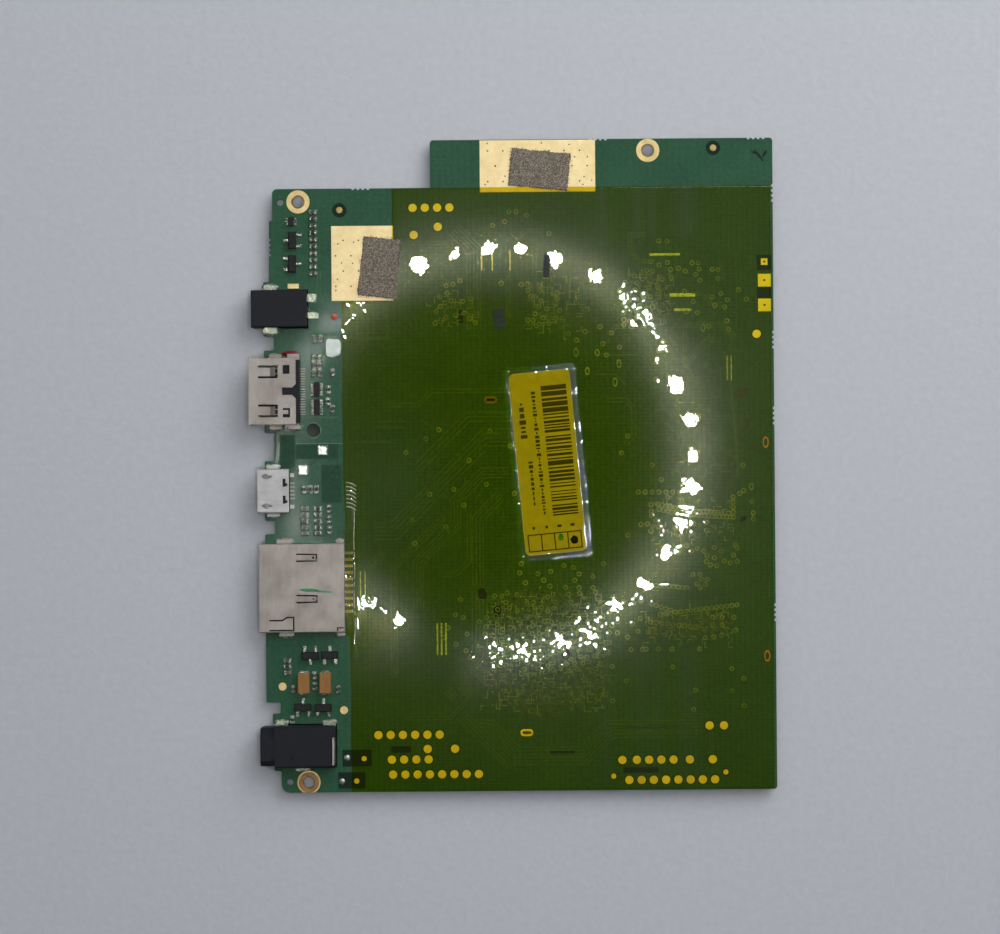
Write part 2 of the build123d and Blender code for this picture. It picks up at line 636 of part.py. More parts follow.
def make_data_socket():
    back = DATA_FRONT + DATA_LENGTH
    half = DATA_WIDTH / 2
    sheet = SHELL_SHEET
    shell = prism_x(data_profile(0, TOP + 0.05, DATA_HEIGHT), DATA_FRONT, back)
    shell = soften(shell, 0.3, Axis.X)
    shell -= prism_x(data_profile(sheet, TOP + 0.05 + sheet, DATA_HEIGHT - sheet), DATA_FRONT - 1, back + 1)
    cut = DATA_HEIGHT - 2 * sheet, DATA_HEIGHT + 1
    for y in (-2.47, 2.47):
        key = slot(DATA_FRONT + 1.6, y, 1.75, 0.42, *cut)
        key += disc(DATA_FRONT + 1.45, y, 0.44, *cut)
        shell -= key
    for y in (-1.45, 1.42):
        notch = slab(DATA_FRONT + 4.25, DATA_FRONT + 4.75, y - 0.68, y + 0.68, *cut)
        notch += slab(DATA_FRONT + 4.7, DATA_FRONT + 5.05, y - 0.55, y - 0.1, *cut)
        shell -= notch
    shell -= disc(DATA_FRONT + 0.85, 0.95, 0.14, DATA_HEIGHT - 0.12, DATA_HEIGHT + 1)
    for side in (-1, 1):
        leg = slab(0.3, 2.5, half - sheet, half, TOP, 1.0)
        foot = slab(0.3, 2.5, half - sheet, half + 0.6, TOP, TOP + 0.2)
        heel = slab(back - 0.6, back + 0.75, 2.35, 3.0, TOP, TOP + 0.3)
        side_parts = leg + foot + heel
        shell += side_parts if side > 0 else mirror(side_parts, Plane.XZ)
    place = Pos(0, DATA_Y, 0)
    keep("data_socket_shell", place * shell)

    gap = sheet + 0.04
    block_x = back - 2.0
    block = prism_x(data_profile(gap, TOP + 0.05 + gap, DATA_HEIGHT - gap), block_x, back)
    tongue_half = row_places(DATA_CONTACTS, DATA_PITCH)[-1] + 0.45
    tongue_z = DATA_HEIGHT / 2 + 0.15
    block += slab(DATA_FRONT + 0.9, block_x, -tongue_half, tongue_half, tongue_z - 0.3, tongue_z + 0.3)
    heel_space = slab(back - 0.65, back + 1, 2.3, 3.05, TOP - 1, TOP + 0.35)
    block -= heel_space + mirror(heel_space, Plane.XZ)
    keep("data_socket_insulator", place * block)
    contacts = []
    for y in row_places(DATA_CONTACTS, DATA_PITCH):
        blade = slab(DATA_FRONT + 1.2, block_x, y - 0.15, y + 0.15, tongue_z - 0.38, tongue_z - 0.3)
        tail = slab(back + HAIR, back + 0.15, y - 0.15, y + 0.15, TOP, TOP + 0.7)
        tail += slab(back + HAIR, back + 0.85, y - 0.15, y + 0.15, TOP, TOP + 0.15)
        contacts += [blade, tail]
    keep("data_socket_contacts", *[place * contact for contact in contacts])


# ---------------------------------------------------------------- memory card socket
def slit(points, width, z_low, z_high):
    """A narrow cut that follows a line of X, Y points."""
    cut = None
    for (x0, y0), (x1, y1) in zip(points, points[1:]):
        length = hypot(x1 - x0, y1 - y0) + width
        turn = degrees(atan2(y1 - y0, x1 - x0))
        middle = Pos((x0 + x1) / 2, (y0 + y1) / 2, (z_low + z_high) / 2)
        leg = middle * Rot(0, 0, turn) * Box(length, width, z_high - z_low)
        cut = leg if cut is None else cut + leg
    return cut


def make_card_socket():
    back = CARD_FRONT + CARD_LENGTH
    half = CARD_WIDTH / 2
    sheet = CARD_SHEET
    cover = slab(CARD_FRONT, back, -half, half, CARD_HEIGHT - sheet, CARD_HEIGHT)
    for side in (-1, 1):
        y_low, y_high = sorted((side * half, side * (half - sheet)))
        cover += slab(0.2, back, y_low, y_high, TOP, CARD_HEIGHT)
    cover += slab(back - sheet, back, -half, half, CARD_HEIGHT - 0.7, CARD_HEIGHT)
    cover = fillet(cover.edges().filter_by(Axis.X).group_by(Axis.Z)[-1], sheet * 0.7)
    cut = CARD_HEIGHT - 2 * sheet, CARD_HEIGHT + 1
    for y in (-1.85, 5.15):
        line = [(5.45, y - 0.6), (8.8, y - 0.52), (8.8, y + 0.52), (5.45, y + 0.6)]
        cover -= slit(line, 0.22, *cut)
        cover -= slab(8.05, 8.4, y - 0.16, y + 0.16, *cut)
    lever = [(0.85, -5.45), (2.9, -5.45), (3.7, -4.95), (4.85, -4.95), (4.85, -7.15), (0.85, -7.15)]
    cover -= slit(lever, 0.24, *cut)
    cover -= slit([(back - 1.25, -half - 0.2), (back - 1.25, -half + 0.75), (back - 0.35, -half + 0.75)], 0.2, *cut)
    cover -= slab(back - 5.8, back - 1.1, half - 0.12, half + 1, CARD_HEIGHT - 0.6, CARD_HEIGHT + 1)
    for x, width, side in ((3.25, 2.6, 1), (back - 0.85, 1.15, 1), (3.55, 2.5, -1), (back - 0.85, 1.15, -1)):
        foot = slab(x - width / 2, x + width / 2, half - sheet, half + 0.75, TOP, TOP + 0.2)
        cover += foot if side > 0 else mirror(foot, Plane.XZ)
    place = Pos(0, CARD_Y, 0)
    keep("card_socket_cover", place * cover)

    gap = sheet + 0.05
    base = slab(0.2, back - gap, -half + gap, half - gap, TOP, CARD_HEIGHT - gap)
    slot_low = CARD_HEIGHT - gap - CARD_SLOT_HEIGHT
    base -= slab(-1, back - 2.2, -CARD_SLOT_WIDTH / 2, CARD_SLOT_WIDTH / 2, slot_low, CARD_HEIGHT)
    contacts = []
    for y in row_places(CARD_CONTACTS, CARD_PITCH):
        y += 0.9
        tail = slab(back - gap + HAIR, back + CARD_TAIL, y - 0.22, y + 0.22, TOP, TOP + CARD_TAIL_THICKNESS)
        contacts.append(tail)
        if abs(y) < CARD_SLOT_WIDTH / 2 - 0.5:
            line = [(back - 2.2, slot_low + 0.08), (back - 5.0, slot_low + 0.08), (back - 6.6, slot_low + 0.6),
                    (back - 7.4, slot_low + 0.35)]
            finger = prism_y(line + [(x, z - 0.08) for x, z in reversed(line)], y - 0.2, y + 0.2)
            contacts.append(finger)
    keep("card_socket_base", place * base)
    keep("card_socket_contacts", *[place * contact for contact in contacts])


# ---------------------------------------------------------------- headphone jack
def make_headphone_jack():
    back = PHONE_FRONT + PHONE_LENGTH
    nose_back = PHONE_FRONT + PHONE_NOSE_LENGTH
    half, nose_half = PHONE_WIDTH / 2, PHONE_NOSE_WIDTH / 2
    axis_z = (PHONE_TOP + FLOOR) / 2
    body = slab(nose_back, back, -half, half, FLOOR, PHONE_TOP)
    body = chamfer(body.edges().filter_by(Axis.X).group_by(Axis.Z)[-1], 0.3)
    nose = slab(PHONE_FRONT, nose_back, -nose_half, nose_half, FLOOR, PHONE_TOP - 0.1)
    nose = chamfer(nose.edges().filter_by(Axis.X), 0.9)
    nose -= plate([(PHONE_FRONT - 1, nose_half - 0.4), (PHONE_FRONT + 0.9, nose_half + 0.1),
                   (PHONE_FRONT - 1, nose_half + 0.1)], FLOOR - 1, PHONE_TOP + 1)
    housing = body + nose
    housing -= rod_x(PHONE_FRONT - 1, PHONE_FRONT + PHONE_BORE_DEPTH, 0, axis_z, PHONE_BORE_RADIUS)
    for x, y in ((nose_back - 0.45, 1.85), (nose_back - 0.35, -2.1), (nose_back + 2.9, -1.95)):
        housing -= disc(x, y, 0.32, PHONE_TOP - 0.45, PHONE_TOP + 1)
    plate_low = axis_z
    housing -= slab(back - 0.75, back + 1, -half + 0.35, half - 1.9, plate_low - 0.05, PHONE_TOP + 1)
    for side, x in ((1, 9.6), (1, 1.5), (-1, 5.0)):
        y_low, y_high = sorted((side * (half + 1), side * (half - 0.5)))
        housing -= slab(x - 0.1, x + 2.2, y_low, y_high, TOP - 0.4, PHONE_TOP - 0.7)
    place = Pos(0, PHONE_Y, 0)
    keep("headphone_jack_housing", place * housing)
    back_plate = slab(back - 0.6, back - 0.2, -half + 0.45, half - 2.0, plate_low, PHONE_TOP - 0.12)
    keep("headphone_jack_back_plate", place * back_plate)
    contacts = []
    for side, x in ((1, 9.6), (1, 1.5), (-1, 5.0)):
        wall = slab(x, x + 2.1, half - 0.4, half - 0.2, TOP - 0.3, PHONE_TOP - 0.9)
        foot = slab(x, x + 2.1, half - 0.4, half + 0.75, TOP, TOP + 0.2)
        contact = wall + foot
        contacts.append(contact if side > 0 else mirror(contact, Plane.XZ))
    keep("headphone_jack_contacts", *[place * contact for contact in contacts])


# ---------------------------------------------------------------- small parts on top
def gull_lead(x, y, reach, width, direction, body_half, height):
    """A flat lead that leaves a body's side, drops to the board and ends in a foot."""
    start = body_half - 0.02
    shoulder = slab(start, body_half + reach * 0.45, -width / 2, width / 2, height, height + LEAD_THICKNESS)
    drop_x = body_half + reach * 0.45
    drop = slab(drop_x - LEAD_THICKNESS, drop_x, -width / 2, width / 2, TOP, height + LEAD_THICKNESS)
    foot = slab(drop_x - LEAD_THICKNESS, body_half + reach, -width / 2, width / 2, TOP, TOP + LEAD_THICKNESS)
    return Pos(x, y, 0) * Rot(0, 0, direction) * (shoulder + drop + foot)


def make_transistors():
    """Three-legged bodies, each turned so that its single lead points the way it is given in degrees."""
    centres = spread((5.0, 93.75), (4.95, 89.75), (7.5, 23.3), (10.85, 23.35), (6.2, 14.5), (9.65, 14.45))
    turns = (180, 0, 270, 90, 90, 90)
    bodies, leads = [], []
    half = TRANSISTOR_WIDTH / 2
    for (x, y), turn in zip(centres, turns):
        body = slab(-half, half, -TRANSISTOR_LENGTH / 2, TRANSISTOR_LENGTH / 2, 0.1, TRANSISTOR_HEIGHT)
        body = chamfer(body.edges().group_by(Axis.Z)[-1], 0.12)
        place = Pos(x, y, TOP) * Rot(0, 0, turn)
        lead_z = TRANSISTOR_HEIGHT * 0.45
        spots = [(0, 0), (180, TRANSISTOR_LEAD_SPACING / 2), (180, -TRANSISTOR_LEAD_SPACING / 2)]
        for direction, across in spots:
            lead = gull_lead(0, across, TRANSISTOR_LEAD_REACH, TRANSISTOR_LEAD_WIDTH, direction, half, lead_z)
            body -= lead
            leads.append(place * lead)
        bodies.append(place * body)
    keep("transistor_bodies", *bodies)
    keep("transistor_leads", *leads)


def make_tantalum_capacitors():
    bodies, ends = [], []
    for x, y in spread((6.4, 18.65), (10.05, 18.65)):
        body = brick(x, y, TANTALUM_WIDTH, TANTALUM_LENGTH, TOP + 0.12, TANTALUM_HEIGHT)
        body = chamfer(body.edges().group_by(Axis.Z)[-1], 0.12)
        for side in (-1, 1):
            y_end = y + side * TANTALUM_LENGTH / 2
            cap = slab(x - 0.6, x + 0.6, *sorted((y_end, y_end + side * 0.12)), TOP, TOP + 0.9)
            cap += slab(x - 0.6, x + 0.6, *sorted((y_end - side * 0.8, y_end + side * 0.12)), TOP, TOP + 0.12)
            ends.append(cap)
        bodies.append(body)
    keep("tantalum_capacitor_bodies", *bodies)
    keep("tantalum_capacitor_ends", *ends)


def make_protection_chips():
    """Fine-pitch chips with a row of leads on both long sides: length, width and leads a side."""
    centres = spread((8.95, 68.45), (8.95, 65.4), (4.8, 96.95))
    chips = [(2.4, 1.05, 5), (2.6, 1.05, 6), (1.5, 0.9, 3)]
    bodies, leads = [], []
    for (x, y), (length, width, count) in zip(centres, chips):
        bodies.append(brick(x, y, width, length, TOP + 0.08, TOP + CHIP_HEIGHT * 0.8))
        for across in row_places(count, 0.44):
            for side in (-1, 1):
                x_low, x_high = sorted((x + side * (width / 2 + HAIR), x + side * (width / 2 + 0.42)))
                leads.append(slab(x_low, x_high, y + across - 0.1, y + across + 0.1, TOP, TOP + 0.22))
    keep("protection_chip_bodies", *bodies)
    keep("protection_chip_leads", *leads)


def passive(x, y, turn, z_face, up):
    """One small two-ended part: its body and its two metal ends, on either face of the board."""
    middle = PASSIVE_LENGTH / 2 - PASSIVE_END
    z_low, z_high = sorted((z_face, z_face + up * PASSIVE_HEIGHT))
    thin = 0.03
    body = brick(0, 0, 2 * middle, PASSIVE_WIDTH - 2 * thin, z_low + (thin if up > 0 else 0),
                 z_high - (thin if up < 0 else 0))
    place = Pos(x, y, 0) * Rot(0, 0, turn)
    ends = [
        brick(side * (middle + PASSIVE_END / 2), 0, PASSIVE_END, PASSIVE_WIDTH, z_low, z_high)
        for side in (-1, 1)
    ]
    return place * body, [place * end for end in ends]


def make_passives(name, places, z_face, up):
    bodies, ends = [], []
    for x, y, turn in places:
        body, pair = passive(x, y, turn, z_face, up)
        bodies.append(body)
        ends += pair
    keep(name + "_bodies", *bodies)
    keep(name + "_ends", *ends)


def make_top_passives():
    upper = [(8.5, spread_y(98.5 - index * 1.16), 0) for index in range(10)]
    video_rows = [[(x, VIDEO_Y + 5.6 - row * 1.25, 90) for x in (8.45, 9.45)] for row in range(3)]
    data_rows = [spread_y(48.2 - row * 1.05) for row in range(5)]
    capacitors = upper[::2] + video_rows[0] + video_rows[2]
    capacitors += [(6.75, y, 0) for y in data_rows]
    capacitors += [(x, y, 0) for x, y in spread((3.6, 22.4), (3.6, 20.4))]
    capacitors += [(x, y, 90) for x, y in spread((4.5, 17.6), (8.2, 19.9), (11.65, 71.3), (8.6, 77.0), (9.75, 77.0))]
    make_passives("ceramic_capacitor", capacitors, TOP, 1)
    resistors = upper[1::2] + video_rows[1] + [(9.0, y, 0) for y in data_rows]
    resistors += [(10.9, spread_y(y), 90) for y in (48.2, 46.4, 44.6)]
    resistors += [(x, DATA_Y + 0.25, 90) for x in (6.6, 7.7, 8.75)]
    resistors += [(3.6, spread_y(21.4), 0)]
    resistors += [(x, y, 90) for x, y in spread((4.35, 12.4), (12.15, 17.5), (8.2, 18.1), (11.55, 65.1),
                                                (10.9, 68.4), (10.9, 66.4))]
    make_passives("resistor", resistors, TOP, 1)


# ---------------------------------------------------------------- underside
def under_chip(x, y, length, width, height):
    """A plain chip package under the board, with its lower edges eased."""
    chip = brick(x, y, length, width, UNDER - height, UNDER)
    return chamfer(chip.edges().group_by(Axis.Z)[0], 0.1)


def make_underside():
    [processor] = spread((40.0, 58.0))
    keep("processor", under_chip(*processor, PROCESSOR_SIDE, PROCESSOR_SIDE, UNDER_HEIGHT))
    memory = spread((62.0, 52.0), (62.0, 64.0), (75.0, 52.0), (75.0, 64.0))
    keep("memory_chips", *[under_chip(x, y, MEMORY_WIDTH, MEMORY_LENGTH, 1.0) for x, y in memory])
    [flash] = spread((66.0, 36.0))
    keep("flash_chip", under_chip(*flash, FLASH_WIDTH, FLASH_LENGTH, 1.0))
    [power] = spread((30.0, 84.0))
    keep("power_management_chip", under_chip(*power, POWER_CHIP_SIDE, POWER_CHIP_SIDE, CHIP_HEIGHT))
    [can_place] = spread((72.0, 92.0))
    can = brick(*can_place, CAN_WIDTH, CAN_LENGTH, FLOOR, UNDER)
    keep("wireless_module_can", fillet(can.edges().filter_by(Axis.Z), 0.8))
    crystals = []
    for x, y in ((processor[0] - 14.0, processor[1] + 3.0), *spread((56.0, 86.0))):
        crystal = brick(x, y, CRYSTAL_LENGTH, CRYSTAL_WIDTH, UNDER - 0.8, UNDER)
        crystals.append(fillet(crystal.edges().filter_by(Axis.Z), 0.4))
    keep("crystals", *crystals)
    inductors = []
    for x, y in spread((20.5, 77.0), (20.5, 71.5), (26.0, 74.5), (31.5, 74.5)):
        coil = brick(x, y, INDUCTOR_SIDE, INDUCTOR_SIDE, UNDER - 1.1, UNDER)
        inductors.append(fillet(coil.edges().filter_by(Axis.Z), 0.9))
    keep("power_inductors", *inductors)

    bodies, contacts = [], []
    half = RIBBON_WIDTH / 2
    ribbons = zip(spread((62.0, 18.0), (40.0, 20.0), (50.0, 98.0)), RIBBON_LENGTHS, RIBBON_COUNTS)
    for (x, y), length, count in ribbons:
        body = brick(x, y, length, RIBBON_WIDTH, FLOOR, UNDER)
        body -= brick(x, y, length - 1.6, 1.5, FLOOR - 1, UNDER - 0.25)
        bodies.append(body)
        for across in row_places(count, RIBBON_PITCH):
            for side in (-1, 1):
                y_low, y_high = sorted((y + side * (half + HAIR), y + side * (half + 0.55)))
                contacts.append(slab(x + across - 0.11, x + across + 0.11, y_low, y_high, UNDER - 0.15, UNDER))
    keep("ribbon_socket_bodies", *bodies)
    keep("ribbon_socket_contacts", *contacts)

    x, y = BOARD_WIDTH - 6.6, spread_y(30.0)
    left, right = x - BATTERY_WIDTH / 2, x + BATTERY_WIDTH / 2
    battery = brick(x, y, BATTERY_WIDTH, BATTERY_LENGTH, FLOOR, UNDER)
    mouth = BATTERY_LENGTH / 2 - 1.1
    battery -= slab(x + 0.6, right + 1, y - mouth, y + mouth, FLOOR + 0.25, UNDER - 0.2)
    keep("battery_connector_body", battery)
    pins = [slab(left - 1.2, left - HAIR, y + across - 0.25, y + across + 0.25, UNDER - 0.2, UNDER)
            for across in row_places(BATTERY_COUNT, BATTERY_PITCH)]
    keep("battery_connector_pins", *pins)

    capsule = disc(*SOUND_HOLE, 2.0, UNDER - 1.1, UNDER)
    capsule = fillet(capsule.edges().group_by(Axis.Z)[0], 0.2)
    keep("microphone_capsule", capsule)

    reach = PROCESSOR_SIDE / 2 + 2.1
    along = [-7.5 + step * 2.1 for step in range(8)]
    ring = [(processor[0] + side * reach, processor[1] + place, 90) for side in (-1, 1) for place in along]
    ring += [(processor[0] + place, processor[1] + side * reach, 0) for side in (-1, 1) for place in along]
    ring += [(power[0] + 6.5, power[1] - 4.0 + step * 1.6, 0) for step in range(5)]
    ring += [(can_place[0] - 5.5 + step * 2.1, can_place[1] - 8.5, 90) for step in range(6)]
    make_passives("underside_capacitor", ring, UNDER, -1)


# ---------------------------------------------------------------- the whole part
make_board()
make_platings()
make_ground_pads()
make_small_pads()
make_solder()
make_film()
make_fabric()
make_label()
make_power_jack()
make_video_socket()
make_data_socket()
make_card_socket()
make_headphone_jack()
make_transistors()
make_tantalum_capacitors()
make_protection_chips()
make_top_passives()
make_underside()

box = Compound(list(pieces.values())).bounding_box()
to_origin = Pos(-(box.min.X + box.max.X) / 2, -(box.min.Y + box.max.Y) / 2, -box.min.Z)
os.makedirs("parts", exist_ok=True)
for name, piece in pieces.items():
    export_step(to_origin * piece, f"parts/{name}.step")
print(len(pieces), "pieces; board corner at", tuple(to_origin.position))
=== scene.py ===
# %% [markdown]
# # A tablet's motherboard, dressed for the studio
#
# A circuit board is a sheet of glass cloth and resin with copper on both faces, lacquered green.
# This one carries its sockets along one edge, a paper label, and a yellow see-through film that
# keeps fingers and crumbs off the copper. The solid parts come from the CAD model, which stays as
# it is. Here they get their finishes, and everything too thin for CAD is added: tracks, vias,
# solder, print, ink and the rippled film.

# %% Load the fixed frame
import math
import random

import bmesh
import bpy
import numpy as np
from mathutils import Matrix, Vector


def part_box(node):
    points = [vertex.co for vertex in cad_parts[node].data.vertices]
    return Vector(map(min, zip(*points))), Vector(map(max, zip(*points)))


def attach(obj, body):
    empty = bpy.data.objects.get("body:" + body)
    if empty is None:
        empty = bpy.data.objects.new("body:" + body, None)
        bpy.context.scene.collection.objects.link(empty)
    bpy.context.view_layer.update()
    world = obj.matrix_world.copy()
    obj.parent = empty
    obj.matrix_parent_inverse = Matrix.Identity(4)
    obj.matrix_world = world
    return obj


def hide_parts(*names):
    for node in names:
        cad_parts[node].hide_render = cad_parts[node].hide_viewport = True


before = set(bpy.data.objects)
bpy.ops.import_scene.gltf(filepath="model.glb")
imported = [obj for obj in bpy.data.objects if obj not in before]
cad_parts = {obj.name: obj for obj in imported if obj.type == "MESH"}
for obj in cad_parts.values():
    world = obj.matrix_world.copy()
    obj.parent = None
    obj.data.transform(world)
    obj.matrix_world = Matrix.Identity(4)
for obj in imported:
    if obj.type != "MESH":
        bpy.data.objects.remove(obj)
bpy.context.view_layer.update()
print("CAD nodes:", len(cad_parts))

# %% [markdown]
# ## Working in the board's own millimetres
#
# A board maker measures from the board's lower left corner. Blender works in metres from the middle
# of the part, so every place is written once in board millimetres and turned by one small function.
# Typing metres everywhere would also work, but nobody could check such numbers against a ruler.

# %% Board millimetres
MM = 0.001
board_low, board_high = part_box("circuit_board")
film_low, film_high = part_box("protective_film")
label_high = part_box("paper_label")[1]


def spot(x, y, up=0.0):
    """A place on the board: millimetres from its lower left corner, and up from its upper face."""
    return (board_low.x + x * MM, board_low.y + y * MM, board_high.z + up * MM)


def turned(x, y, u, v, degrees):
    """The place u and v millimetres from x, y, in directions turned by an angle."""
    c, s = math.cos(math.radians(degrees)), math.sin(math.radians(degrees))
    return x + u * c - v * s, y + u * s + v * c


NOTCH_X, NOTCH_Y = 21.95, 83.4  # the inner corner of the film's outline
BOARD_WIDE = (board_high.x - board_low.x) / MM
BOARD_LONG = (board_high.y - board_low.y) / MM
UNDERSIDE = -(board_high.z - board_low.z) / MM
print("board", round(BOARD_WIDE, 1), "by", round(BOARD_LONG, 1), "mm, underside at", round(UNDERSIDE, 2))

# %% [markdown]
# ## Thin forms from loops of points
#
# Tracks, rings, ink and print are all thin raised shapes. Each could be a curve with a bevel, but
# hundreds of curve objects are slow and hard to edit. A loop of points stacked on another loop makes
# every one of them, so one short function skins the loops and another makes the object.

# %% Skin loops, and make a piece
def stack(loops, capped=True):
    """One skin over loops that all have as many points. Without caps, the last loop joins the first."""
    count, levels = len(loops[0]), len(loops)
    points = [point for loop in loops for point in loop]
    faces = []
    for level in range(levels - 1 if capped else levels):
        low, high = level * count, (level + 1) % levels * count
        for i in range(count):
            j = (i + 1) % count
            faces.append((low + i, low + j, high + j, high + i))
    if capped:
        faces += [tuple(range(count))[::-1], tuple(range((levels - 1) * count, levels * count))]
    return points, faces


def piece(name, forms, finish, smooth=False, tidy=True):
    """One object from many forms. It rides on the board and takes the finish it is given."""
    points, faces = [], []
    for form_points, form_faces in forms:
        start = len(points)
        points += form_points
        faces += [tuple(start + i for i in face) for face in form_faces]
    mesh = bpy.data.meshes.new(name)
    mesh.from_pydata(points, [], faces)
    if tidy:
        work = bmesh.new()
        work.from_mesh(mesh)
        bmesh.ops.recalc_face_normals(work, faces=work.faces)
        work.to_mesh(mesh)
        work.free()
    mesh.materials.append(finish)
    if smooth:
        mesh.shade_smooth()
    made = bpy.data.objects.new(name, mesh)
    bpy.context.scene.collection.objects.link(made)
    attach(made, "root")
    print(f"{name}: {len(forms)} forms, {len(faces)} faces")
    return made


# %% Round forms: rings, dots and ovals
def circle(x, y, radius, up, sides=12, stretch=1.0):
    """A loop of points; stretch makes it longer along the board."""
    turns = [2 * math.pi * i / sides for i in range(sides)]
    return [spot(x + radius * math.cos(t), y + radius * stretch * math.sin(t), up) for t in turns]


def ring(x, y, inner, outer, low, high, sides=12, stretch=1.0):
    """A flat ring with a hole."""
    rims = ((outer, low), (outer * 0.94, high), (inner, high), (inner, low))
    return stack([circle(x, y, radius, up, sides, stretch) for radius, up in rims], capped=False)


def dot(x, y, radius, low, high, sides=12, stretch=1.0):
    """A low drop with a rounded shoulder."""
    rims = ((radius, low), (radius * 0.85, low + (high - low) * 0.75), (radius * 0.45, high))
    return stack([circle(x, y, reach, up, sides, stretch) for reach, up in rims])


def splash(x, y, wide, long, up, seed, thick=0.012, turn=0.0, sides=22, ragged=0.16):
    """A flat patch with an uneven edge, as ink and stains leave."""
    luck = random.Random(seed)
    reach = [1 + ragged * luck.uniform(-1, 1) for _ in range(sides)]
    reach = [(reach[i - 1] + 2 * reach[i] + reach[(i + 1) % sides]) / 4 for i in range(sides)]
    loops = []
    for share, height in ((1.0, 0.0), (0.97, thick)):
        loop = []
        for i in range(sides):
            t = 2 * math.pi * i / sides
            u, v = wide / 2 * share * reach[i] * math.cos(t), long / 2 * share * reach[i] * math.sin(t)
            loop.append(spot(*turned(x, y, u, v, turn), up + height))
        loops.append(loop)
    return stack(loops)


# %% Long forms: tracks and plates
def shifted(line, aside):
    """A line moved to its left by so many millimetres, with its corners kept sharp."""
    legs = []
    for (x0, y0), (x1, y1) in zip(line, line[1:]):
        length = math.hypot(x1 - x0, y1 - y0)
        legs.append((-(y1 - y0) / length, (x1 - x0) / length))
    moved = []
    for i, (x, y) in enumerate(line):
        a, b = legs[max(i - 1, 0)], legs[min(i, len(legs) - 1)]
        share = aside / (1 + a[0] * b[0] + a[1] * b[1])
        moved.append((x + (a[0] + b[0]) * share, y + (a[1] + b[1]) * share))
    return moved


def strip(line, wide, low, high):
    """A track along a line, a little narrower on top, as etched copper is."""
    edges = [shifted(line, share * wide) for share in (0.5, -0.5, -0.34, 0.34)]
    heights = (low, low, high, high)
    return stack([[spot(*edge[i], up) for edge, up in zip(edges, heights)] for i in range(len(line))])


def oblong(x, y, wide, long, low, high, turn=0.0, ease=0.06):
    """A small flat plate with eased upper edges, turned about its middle."""
    loops = []
    for inset, up in ((0.0, low), (0.0, low + (high - low) * 0.6), (min(ease, wide / 5, long / 5), high)):
        u, v = wide / 2 - inset, long / 2 - inset
        corners = ((-u, -v), (u, -v), (u, v), (-u, v))
        loops.append([spot(*turned(x, y, *corner, turn), up) for corner in corners])
    return stack(loops)


print("forms ready: ring, dot, splash, strip, oblong")

# %% [markdown]
# ## Finishes: a few node helpers first
#
# Every finish here is grown from noise and waves, never from a picture. Small helpers keep each recipe
# short: a grain of a stated size in millimetres, a ramp that turns grain into colours, a span that
# turns it into a number such as roughness, and a relief that turns it into fine bumps. Many finishes
# are only two colours in clumps, so one more function, called mottled, makes those from a few words.

# %% Colours, nodes and a new finish
def screen(red, green, blue):
    """A colour as it looks on a screen, in the light values that shaders use."""
    light = [c / 255 / 12.92 if c <= 10 else ((c / 255 + 0.055) / 1.055) ** 2.4 for c in (red, green, blue)]
    return (*light, 1.0)


def feed(tree, node, **inputs):
    """Fill a node's inputs with values, or link them to outputs; _ stands for a space in a name."""
    for name, value in inputs.items():
        socket = node.inputs[name.replace("_", " ")]
        if isinstance(value, bpy.types.NodeSocket):
            tree.links.new(value, socket)
        else:
            socket.default_value = value


def add_node(tree, kind, **inputs):
    """A new shader node with some of its inputs filled."""
    made = tree.nodes.new("ShaderNode" + kind)
    feed(tree, made, **inputs)
    return made


def new_finish(name, roughness=0.5, metallic=0.0):
    """A material, its node tree and its main shader."""
    made = bpy.data.materials.new(name)
    made.use_nodes = True
    tree = made.node_tree
    shader = tree.nodes["Principled BSDF"]
    feed(tree, shader, Roughness=roughness, Metallic=metallic)
    return made, tree, shader


print("the screen's middle grey is", round(screen(128, 128, 128)[0], 3), "of white light")

# %% Grain, ramp and span
def grain(tree, size, stretch=(1, 1, 1), detail=3.0):
    """Noise whose clumps are about size millimetres, stretched along an axis by a small number there."""
    place = add_node(tree, "TexCoord").outputs["Object"]
    lay = add_node(tree, "Mapping", Vector=place, Scale=stretch).outputs["Vector"]
    return add_node(tree, "TexNoise", Vector=lay, Scale=1 / (size * MM), Detail=detail).outputs[0]


def ramp(tree, source, *stops):
    """Colours at stated levels of a source."""
    node = add_node(tree, "ValToRGB", Fac=source)
    marks = node.color_ramp.elements
    while len(marks) < len(stops):
        marks.new(0.5)
    for mark, (level, colour) in zip(marks, stops):
        mark.position, mark.color = level, colour
    return node.outputs["Color"]


def two_tone(tree, size, dark, light, start=0.3, end=0.7, detail=3.0):
    """Two colours in clumps of about size millimetres."""
    return ramp(tree, grain(tree, size, detail=detail), (start, screen(*dark)), (end, screen(*light)))


def span(tree, source, low, high, start=0.3, end=0.7):
    """A number between low and high as the source goes from start to end."""
    node = add_node(tree, "MapRange", Value=source, From_Min=start, From_Max=end, To_Min=low, To_Max=high)
    return node.outputs["Result"]


print("ready: grain, ramp, two_tone, span")

# %% Blend, relief and the mottled recipe
def blend(tree, share, under, over):
    """Two colours mixed by a share."""
    node = add_node(tree, "Mix")
    node.data_type = "RGBA"
    for value, name in ((share, "Factor"), (under, "A"), (over, "B")):
        socket = [s for s in node.inputs if s.name == name and s.enabled][0]
        if isinstance(value, (tuple, float)):
            socket.default_value = value
        else:
            tree.links.new(value, socket)
    return [s for s in node.outputs if s.enabled][0]


def relief(tree, shader, source, deep, edge=0.0):
    """Fine bumps, deep millimetres from lowest to highest, and edges eased to a radius."""
    bump = add_node(tree, "Bump", Distance=deep * MM, Height=source)
    if edge:
        ease = add_node(tree, "Bevel", Radius=edge * MM)
        ease.samples = 4
        feed(tree, bump, Normal=ease.outputs["Normal"])
    feed(tree, shader, Normal=bump.outputs["Normal"])


